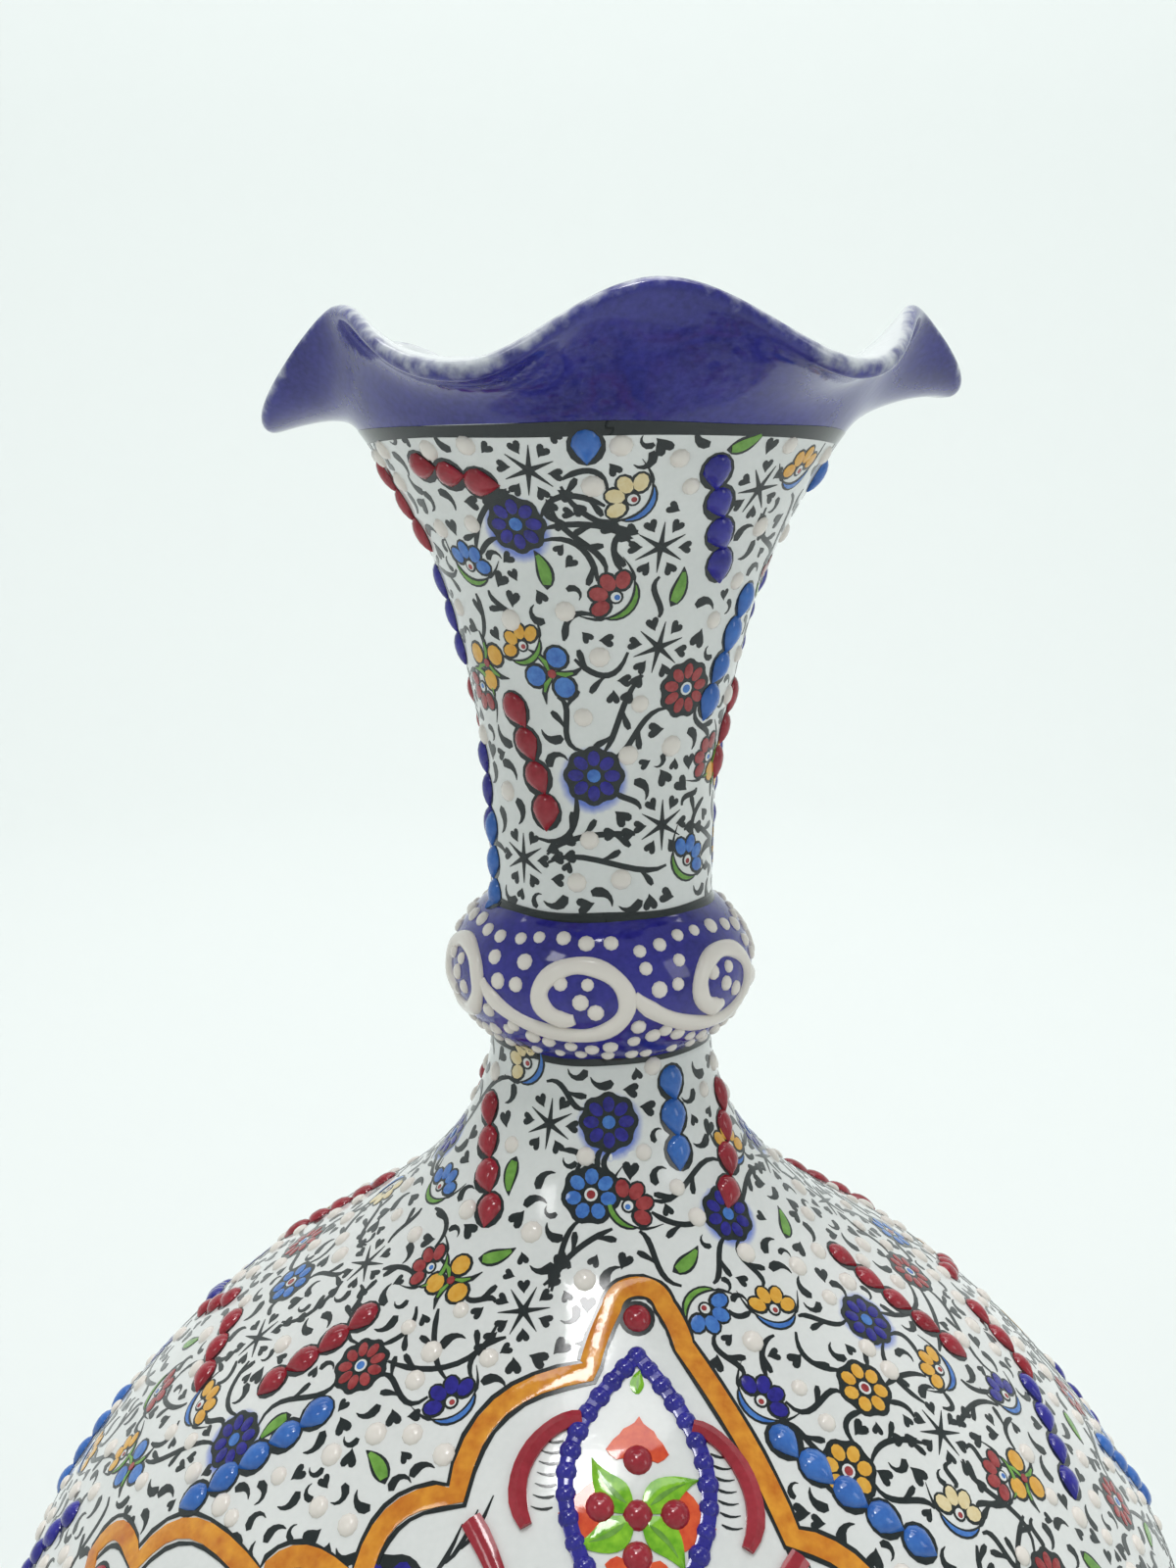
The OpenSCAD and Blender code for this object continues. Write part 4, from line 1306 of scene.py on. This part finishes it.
def placeFlowers():
    anchors = []

    def settle(kind, az, s, turn):
        size = reach.get(kind, flowerReach)
        claim(az, s, size, "flower")
        if kind == "cobaltRosette":
            putBleed(az + dice.uniform(-0.4, 0.4), s - dice.uniform(0.2, 1.0))
        putMotif(kind, az, s, turn)
        if kind != "leaf":
            anchors.append((az, s, size, kind))

    for side in (0, 180):
        for kind, az, z, turn in flowers:
            if not insideMedallion(az + side, alongAt(z), ground["setOffMedallion"]):
                settle(kind, az + side, alongAt(z), turn)
    order = 0
    for tries in range(ground["tries"]):
        s = dice.uniform(ground["low"], wallEnd - ground["high"])
        if not openGround(s, ground["offCollar"], ground["offCollar"], ground["high"]):
            continue
        if dice.random() > float(radiusAt(s)) / widestRadius:  # as many for each area of wall
            continue
        az = dice.uniform(0, 360)
        kind = fillKinds[order % len(fillKinds)]
        size = reach.get(kind, flowerReach)
        if (roomFor(az, s, size + ground["gap"], spread=10)
                and not insideMedallion(az, s, size + ground["offMedallion"])):
            settle(kind, az, s, dice.uniform(0, 360))
            order += 1
    print("flowers placed:", len(anchors))
    return anchors


def placeChains():
    look, step = chainLook, chainLook["step"]
    for side in (0, 180):
        for color, rows in chains.items():
            for az, z, heading, count in rows:
                s = alongAt(z)
                turn = math.radians(heading)
                for k in range(count):
                    wobble = dice.uniform(-1, 1) * look["wobble"]
                    here = az + side + math.degrees(k * step * math.sin(turn) / float(radiusAt(s)))
                    there = s + k * step * math.cos(turn)
                    region = ("neck" if bandOf(there) == "neck" else "body") + "Petals"
                    wrap(color, raised["petal"], here, there, heading + 180 + wobble,
                         dice.uniform(*look["sizes"]), region=region)
                    ink = spot(0, *look["ink"], lift=look["inkLift"], rings=domed, count=14)
                    wrap("inkPaint", ink, here, there - 0.1, heading)
                    claim(here, there, look["keepOff"], "petal")


vine = {
    "points": 11,
    "longest": 42.0,
    "tries": 6,
    "bow": (0.06, 0.3),
    "budsFrom": 24.0,       # only a vine longer than this has buds
    "budsAt": (7.6, 10.6),
    "budWidth": 2.6,
    "tendrilsFrom": 18.0,
    "tendrils": (4, 7),
    "tendrilReach": 3.6,
    "tendrilTurn": 35,
    "thickness": ([0, 0.25, 0.8, 1], [0.5, 1.1, 1.15, 0.5]),   # share of the way, width
    "lift": 0.06,
}


def vinePath(start, end, radius):
    az, s, size, _ = start
    az2, s2, size2, _ = end
    goal = np.array([math.radians((az2 - az + 180) % 360 - 180) * radius, s2 - s])
    gap = math.hypot(*goal)
    way = goal / gap
    a, b = way * (size - 0.3), goal - way * (size2 - 0.3)
    bow = dice.choice((-1, 1)) * dice.uniform(*vine["bow"]) * gap * np.array([-way[1], way[0]])
    bend = dice.choice((-0.6, 0.5))
    flat = bezier(a, a + (b - a) * 0.3 + bow, a + (b - a) * 0.75 + bow * bend, b, vine["points"])
    return goal, flat, az + np.degrees(flat[:, 0] / radius), s + flat[:, 1]


def vineFits(pathAz, pathS):
    if pathS.max() > wallEnd - 2 or pathS.min() < 12:
        return False
    if pathS.min() < neckStart < pathS.max() or pathS.min() < collarStart < pathS.max():
        return False
    if any(insideMedallion(float(p), float(q), 2.5) for p, q in zip(pathAz, pathS)):
        return False
    return all(roomFor(float(p), float(q), -0.4) for p, q in zip(pathAz[2:-2], pathS[2:-2]))


def putBuds(goal, flat, pathAz, pathS, kind, other):  # a pair of arrowheads that point at a star
    for star, here in ((np.zeros(2), kind), (goal, other)):
        if here != "star":
            continue
        gaps = np.hypot(*(flat - star).T)
        for wanted in vine["budsAt"]:
            k = int(np.argmin(abs(gaps - wanted)))
            back = flat[k] - star
            wrap("inkPaint", heartShape(vine["budWidth"]), float(pathAz[k]), float(pathS[k]),
                 math.degrees(math.atan2(back[0], back[1])))


def putTendrils(flat, pathAz, pathS):
    out = vine["tendrilReach"]
    for n, k in enumerate(vine["tendrils"]):
        way = flat[k + 1] - flat[k - 1]
        heading = math.degrees(math.atan2(way[0], way[1]))
        flip = 1 if n % 2 else -1
        turn = math.radians(heading + flip * vine["tendrilTurn"])
        az = float(pathAz[k]) + math.degrees(out * math.sin(turn) / float(radiusAt(pathS[k])))
        s = float(pathS[k]) + out * math.cos(turn)
        if roomFor(az, s, 0.9, ignore=("vine",)) and not insideMedallion(az, s, 3.5):
            wrap("inkPaint", tendrilShape(flip), float(pathAz[k]), float(pathS[k]), heading)
            claim(az, s, 1.5, "fill")


def drawVine(start, end, gap):
    r = float(radiusAt((start[1] + end[1]) / 2))
    for attempt in range(vine["tries"]):
        goal, flat, pathAz, pathS = vinePath(start, end, r)
        if vineFits(pathAz, pathS):
            break
    else:
        return False
    widths = np.interp(np.linspace(0, 1, len(flat)), *vine["thickness"])
    wrapStroke("inkPaint", pathAz, pathS, widths, vine["lift"])
    for p, q in zip(pathAz[1:-1], pathS[1:-1]):
        claim(float(p), float(q), 0.6, "vine")
    if gap > vine["budsFrom"]:
        putBuds(goal, flat, pathAz, pathS, start[3], end[3])
    if gap > vine["tendrilsFrom"]:
        putTendrils(flat, pathAz, pathS)
    return True


def placeVines(anchors):
    count, done = 0, set()
    places = np.array([onWall(math.radians(a), s) / mm for a, s, _, _ in anchors])
    for i, (_, _, size, kind) in enumerate(anchors):
        gaps = np.linalg.norm(places - places[i], axis=1)
        near = 6 if kind == "star" else 5
        for j in map(int, np.argsort(gaps)[1:near]):
            pair = (min(i, j), max(i, j))
            if pair in done or gaps[j] > vine["longest"] or gaps[j] < size + anchors[j][2] + 1.0:
                continue
            done.add(pair)
            count += drawVine(anchors[i], anchors[j], gaps[j])
    print("vines drawn:", count)


dotLook = {"first": 15.0, "rows": 8.3, "spread": 2.2, "keepOff": 1.5, "claim": 1.9, "sizes": (0.82, 1.12)}


def placeDots():
    look, count, s = dotLook, 0, dotLook["first"]
    while s < wallEnd - 3:
        r = float(radiusAt(s))
        number = int(2 * math.pi * r / look["rows"])
        shift = dice.random()
        for i in range(number):
            az = (i + shift) * 360 / number + math.degrees(dice.uniform(-1, 1) * look["spread"] / r)
            here = s + dice.uniform(-1, 1) * look["spread"]
            if not openGround(here, 2, 2, 3) or insideMedallion(az, here, 5):
                continue
            if not roomFor(az, here, look["keepOff"], ignore=("vine",)):
                continue
            claim(az, here, look["claim"], "dot")
            wrap("whiteEnamel", raised["dot"], az, here, dice.uniform(0, 30), dice.uniform(*look["sizes"]),
                 region=bandOf(here) + "Dots")
            count += 1
        s += look["rows"]
    print("white dots placed:", count)


fillGrid = {"first": 13.5, "rows": 2.1, "columns": 2.2, "spread": (1.1, 1.0)}
fillRounds = [
    {"kinds": ["heart", "comma", "heart", "hook", "comma"], "size": (0.95, 1.12), "gap": 0.12},
    {"kinds": ["heart", "hook", "heart"], "size": (0.7, 0.85), "gap": 0.12},
]


def placeFill():
    for look in fillRounds:
        count, kinds, s = 0, look["kinds"], fillGrid["first"]
        while s < wallEnd - 2:
            r = float(radiusAt(s))
            number = int(2 * math.pi * r / fillGrid["columns"])
            for i in range(number):
                az = i * 360 / number + math.degrees(dice.uniform(-1, 1) * fillGrid["spread"][0] / r)
                here = s + dice.uniform(-1, 1) * fillGrid["spread"][1]
                if not openGround(here, 3, 2.5, 2.5):
                    continue
                kind, size = kinds[count % len(kinds)], dice.uniform(*look["size"])
                room = reach[kind] * size + look["gap"]
                if not roomFor(az, here, room) or insideMedallion(az, here, 3.5):
                    continue
                claim(az, here, room, "fill")
                putMotif(kind, az, here, dice.uniform(0, 360), size)
                count += 1
            s += fillGrid["rows"]
        print("hearts and commas placed:", count)


# collar: trailed scrolls and dots

collarScrolls = {
    "count": 6,
    "turn": 0.86,          # of one scroll, so that the front shows the same part as the real collar
    "rope": 3.3,
    "height": 1.25,
    "curl": 9.2,
    "squash": 0.86,
    "lead": [(-21.6, 0.6), (-18.5, -4.5), (-9, -9.4)],
    # dots of one scroll, in mm from its middle
    "dots": [(-4, 2.6), (1.2, 2.8), (0, -0.6), (3.4, -3), (-11.8, 6.4), (-12.4, 1.8), (-9.8, 11.2),
             (-4.2, 11.4), (1.2, 11.2), (6.8, 10.6), (12, 9.6), (17, 10.4), (12.6, 5.8), (15.2, 1.4),
             (11.6, -6.6), (-14.4, -8.8), (-11, -10.6), (-7, -12), (-2.6, -12.6), (2, -12.8),
             (6.4, -12.4), (10.8, -11.2), (15, -9.8)],
    "lowRow": {"above": 1.6, "gap": 4.6},
}


def scrollPath():
    radius = collarScrolls["curl"]

    def curl(t):
        a = math.radians(-90 + 350 * t)
        r = radius * (1 - 0.5 * t ** 4)
        return np.array([r * math.cos(a), -1 + 0.87 * r * math.sin(a)])

    lead = bezier(*np.array(collarScrolls["lead"]), curl(0), 14)
    return np.concatenate([lead[:-1], [curl(i / 40) for i in range(41)]])


def trailRope(az, s, widths, height, region):
    turns = [math.pi * i / 6 for i in range(7)]
    section = [(-math.cos(a), math.sin(a) ** 0.85) for a in turns] + [(1, -0.25), (-1, -0.25)]
    tall = height * widths / widths.max()
    heights = [h * tall if h > 0 else h for _, h in section]
    wrapSection("whiteEnamel", az, s, widths, [k for k, _ in section], heights, region)


def collarPlace(k, x, y):
    look = collarScrolls
    pitch = 2 * math.pi * (wallShape["neckRadius"] + wallShape["collarBulge"]) / look["count"]
    middle = (wallShape["collarLow"] + wallShape["collarHigh"]) / 2 + 1
    az = (k + look["turn"] + np.asarray(x, float) / pitch) * 360 / look["count"]
    z = middle + np.asarray(y, float) * look["squash"]
    return az, np.interp(z, tableZ, tableS)


def putCollarDot(az, s, size):
    wrap("whiteEnamel", raised["collarDot"], float(az), float(s), 0, size, region="collarDots")


def buildCollar():
    look = collarScrolls
    path = scrollPath()
    last = len(path) - 1
    ends = np.interp(np.arange(len(path)), [0, 3, last - 3, last], [0.55, 1, 1.1, 0.6])
    for k in range(look["count"]):
        az, s = collarPlace(k, path[:, 0], path[:, 1])
        waver = np.array([1 + 0.06 * math.sin(i * 0.9 + k) for i in range(len(path))])
        trailRope(az, s, look["rope"] * ends * waver, look["height"], "collarScrolls")
        for x, y in look["dots"]:
            a, b = collarPlace(k, x + dice.uniform(-0.5, 0.5), y + dice.uniform(-0.4, 0.4))
            putCollarDot(a, b, dice.uniform(0.8, 1.1))
    z = wallShape["collarLow"] + look["lowRow"]["above"]
    number = int(2 * math.pi * float(wallRadius(z)) / look["lowRow"]["gap"])
    for i in range(number):
        a, b = i * 360 / number + dice.uniform(-3, 3), alongAt(z) + dice.uniform(-0.3, 0.3)
        putCollarDot(a, b, dice.uniform(0.7, 0.9))
    print("collar done")


# name, height and width of each dark band
paintedBands = [("rim", 378.6, 2.6), ("collarTop", 289.6, 1.9), ("collarFoot", 261.4, 1.7),
                ("foot", 13.5, 2.6)]


def buildBands():
    for name, z, width in paintedBands:
        az = np.linspace(0, 360, 181)
        wave = 0.18 * np.sin(np.radians(az) * 3) + 0.12 * np.sin(np.radians(az) * 7 + 1)
        az = np.append(az, 362.0)
        wave = np.append(wave, wave[1])
        thick = width * (1 + 0.12 * np.sin(np.radians(az) * 5 + 2))
        region = "bands" + name[0].upper() + name[1:]
        wrapStroke("inkPaint", az, alongAt(z) + wave, thick, 0.09, 0.02, region=region)


# turn the layers into pieces

standIns = {
    ("whiteEnamel", "collarScrolls"): ["collar_scrolls"],
    ("whiteEnamel", "collarDots"): ["collar_dots"],
    ("whiteEnamel", "neckDots"): ["neck_dots"],
    ("whiteEnamel", "shoulderDots"): ["shoulder_dots"],
    ("whiteEnamel", "bowlDots"): ["bowl_dots"],
    ("redEnamel", "neckPetals"): ["neck_red_petals"],
    ("cobaltEnamel", "neckPetals"): ["neck_cobalt_petals"],
    ("blueEnamel", "neckPetals"): ["neck_blue_petals"],
    ("redEnamel", "bodyPetals"): ["body_red_petals"],
    ("cobaltEnamel", "bodyPetals"): ["body_cobalt_petals"],
    ("blueEnamel", "bodyPetals"): ["body_blue_petals"],
    ("amberGlaze", "front"): ["front_border"],
    ("amberGlaze", "back"): ["back_border"],
    ("cobaltEnamel", "frontRope"): ["front_bead_ropes"],
    ("cobaltEnamel", "backRope"): ["back_bead_ropes"],
    ("redEnamel", "front"): ["front_red_strokes"],
    ("redEnamel", "back"): ["back_red_strokes"],
    ("redEnamel", "frontBeads"): ["front_red_beads"],
    ("redEnamel", "backBeads"): ["back_red_beads"],
}


def buildLayers():
    for (color, region), layer in layers.items():
        name = region + color[0].upper() + color[1:]
        piece = meshPiece(name, np.concatenate(layer["points"]), layer["faces"], 45)
        if layer["tones"]:
            tone = piece.data.attributes.new("bleed", "FLOAT", "POINT")
            tone.data.foreach_set("value", layer["tones"])
        finishPiece(piece, color, standIns.get((color, region), []))
        print(name, len(piece.data.polygons), "faces")


buildClay()
buildRim()
placeChains()
anchors = placeFlowers()
placeVines(anchors)
placeDots()
placeFill()
buildMedallion(0)
buildMedallion(180)
buildCollar()
buildBands()
buildLayers()


# studio: pale floor that rises into a pale backdrop, soft lights, camera

studio = {
    "floorRadius": 1.6,
    "curveRadius": 1.0,
    "curveSteps": 16,
    "wallHeight": 3.2,
    "paper": (0.80, 0.83, 0.82),
    "paperRoughness": 0.9,
    "focal": 36.0,
    "sensor": 36.0,
    "eye": (-0.0027, -0.308, 0.367),
    "pitch": 10.25,
    "air": (0.95, 1.0, 0.99, 1),
    "airStrength": 0.45,
    # name, place, target, size and power of each light
    "lights": [("windowLight", (-0.15, -0.55, 2.1), (0, 0, 0.25), (0.4, 0.3), 7),
               ("keyLight", (-0.9, -0.9, 1.5), (0, 0, 0.28), (0.3, 0.3), 1.5),
               ("fillLight", (1.3, -0.7, 0.9), (0, 0, 0.25), (0.4, 0.7), 1.6),
               ("topLight", (0.1, 0.1, 2.3), (0, 0, 0.2), (1.2, 1.2), 15),
               ("backdropLight", (0, 1.0, 2.2), (0, 2.5, 0.6), (2.6, 0.8), 22)],
}


def buildStudio():
    look = studio
    bpy.ops.object.select_all(action="DESELECT")
    bpy.ops.mesh.primitive_circle_add(vertices=128, radius=look["floorRadius"], fill_type="NGON")
    paper = bpy.context.object
    paper.name = "paperSweep"
    bpy.ops.object.mode_set(mode="EDIT")
    bpy.ops.mesh.select_mode(type="EDGE")
    shape = bmesh.from_edit_mesh(paper.data)
    for f in shape.faces:
        f.select = False
    for e in shape.edges:
        e.select = len(e.link_faces) == 1
    bmesh.update_edit_mesh(paper.data)
    curve = [i / look["curveSteps"] * math.pi / 2 for i in range(1, look["curveSteps"] + 1)]
    bend = look["curveRadius"]
    stops = [(look["floorRadius"] + bend * math.sin(a), bend * (1 - math.cos(a))) for a in curve]
    stops.append((stops[-1][0], look["wallHeight"]))
    r, z = look["floorRadius"], 0.0
    for nextR, nextZ in stops:
        bpy.ops.mesh.extrude_region_move(TRANSFORM_OT_translate={"value": (0, 0, nextZ - z)})
        bpy.ops.transform.resize(value=(nextR / r, nextR / r, 1), center_override=(0, 0, 0))
        r, z = nextR, nextZ
    bpy.ops.object.mode_set(mode="OBJECT")
    bpy.ops.object.shade_smooth()
    material = bpy.data.materials.new("paper")
    material.use_nodes = True
    shader = material.node_tree.nodes["Principled BSDF"]
    shader.inputs["Base Color"].default_value = (*look["paper"], 1)
    shader.inputs["Roughness"].default_value = look["paperRoughness"]
    paper.data.materials.append(material)


def softLight(name, place, target, size, power):
    data = bpy.data.lights.new(name, "AREA")
    data.shape = "RECTANGLE"
    data.size, data.size_y = size
    data.energy = power
    light = bpy.data.objects.new(name, data)
    bpy.context.collection.objects.link(light)
    light.location = place
    d = [t - p for t, p in zip(target, place)]
    light.rotation_euler = (math.atan2(math.hypot(d[0], d[1]), -d[2]), 0, math.atan2(-d[0], d[1]))


def setCamera():
    data = bpy.data.cameras.new("camera")
    data.lens = studio["focal"]
    data.sensor_width = studio["sensor"]
    camera = bpy.data.objects.new("camera", data)
    bpy.context.collection.objects.link(camera)
    camera.location = studio["eye"]
    camera.rotation_euler = (math.radians(90 - studio["pitch"]), 0, 0)
    bpy.context.scene.camera = camera


buildStudio()
for light in studio["lights"]:
    softLight(*light)

world = bpy.data.worlds.new("studioAir")
world.use_nodes = True
world.node_tree.nodes["Background"].inputs["Color"].default_value = studio["air"]
world.node_tree.nodes["Background"].inputs["Strength"].default_value = studio["airStrength"]
bpy.context.scene.world = world
bpy.context.scene.view_settings.view_transform = "Standard"
setCamera()
print("studio ready")
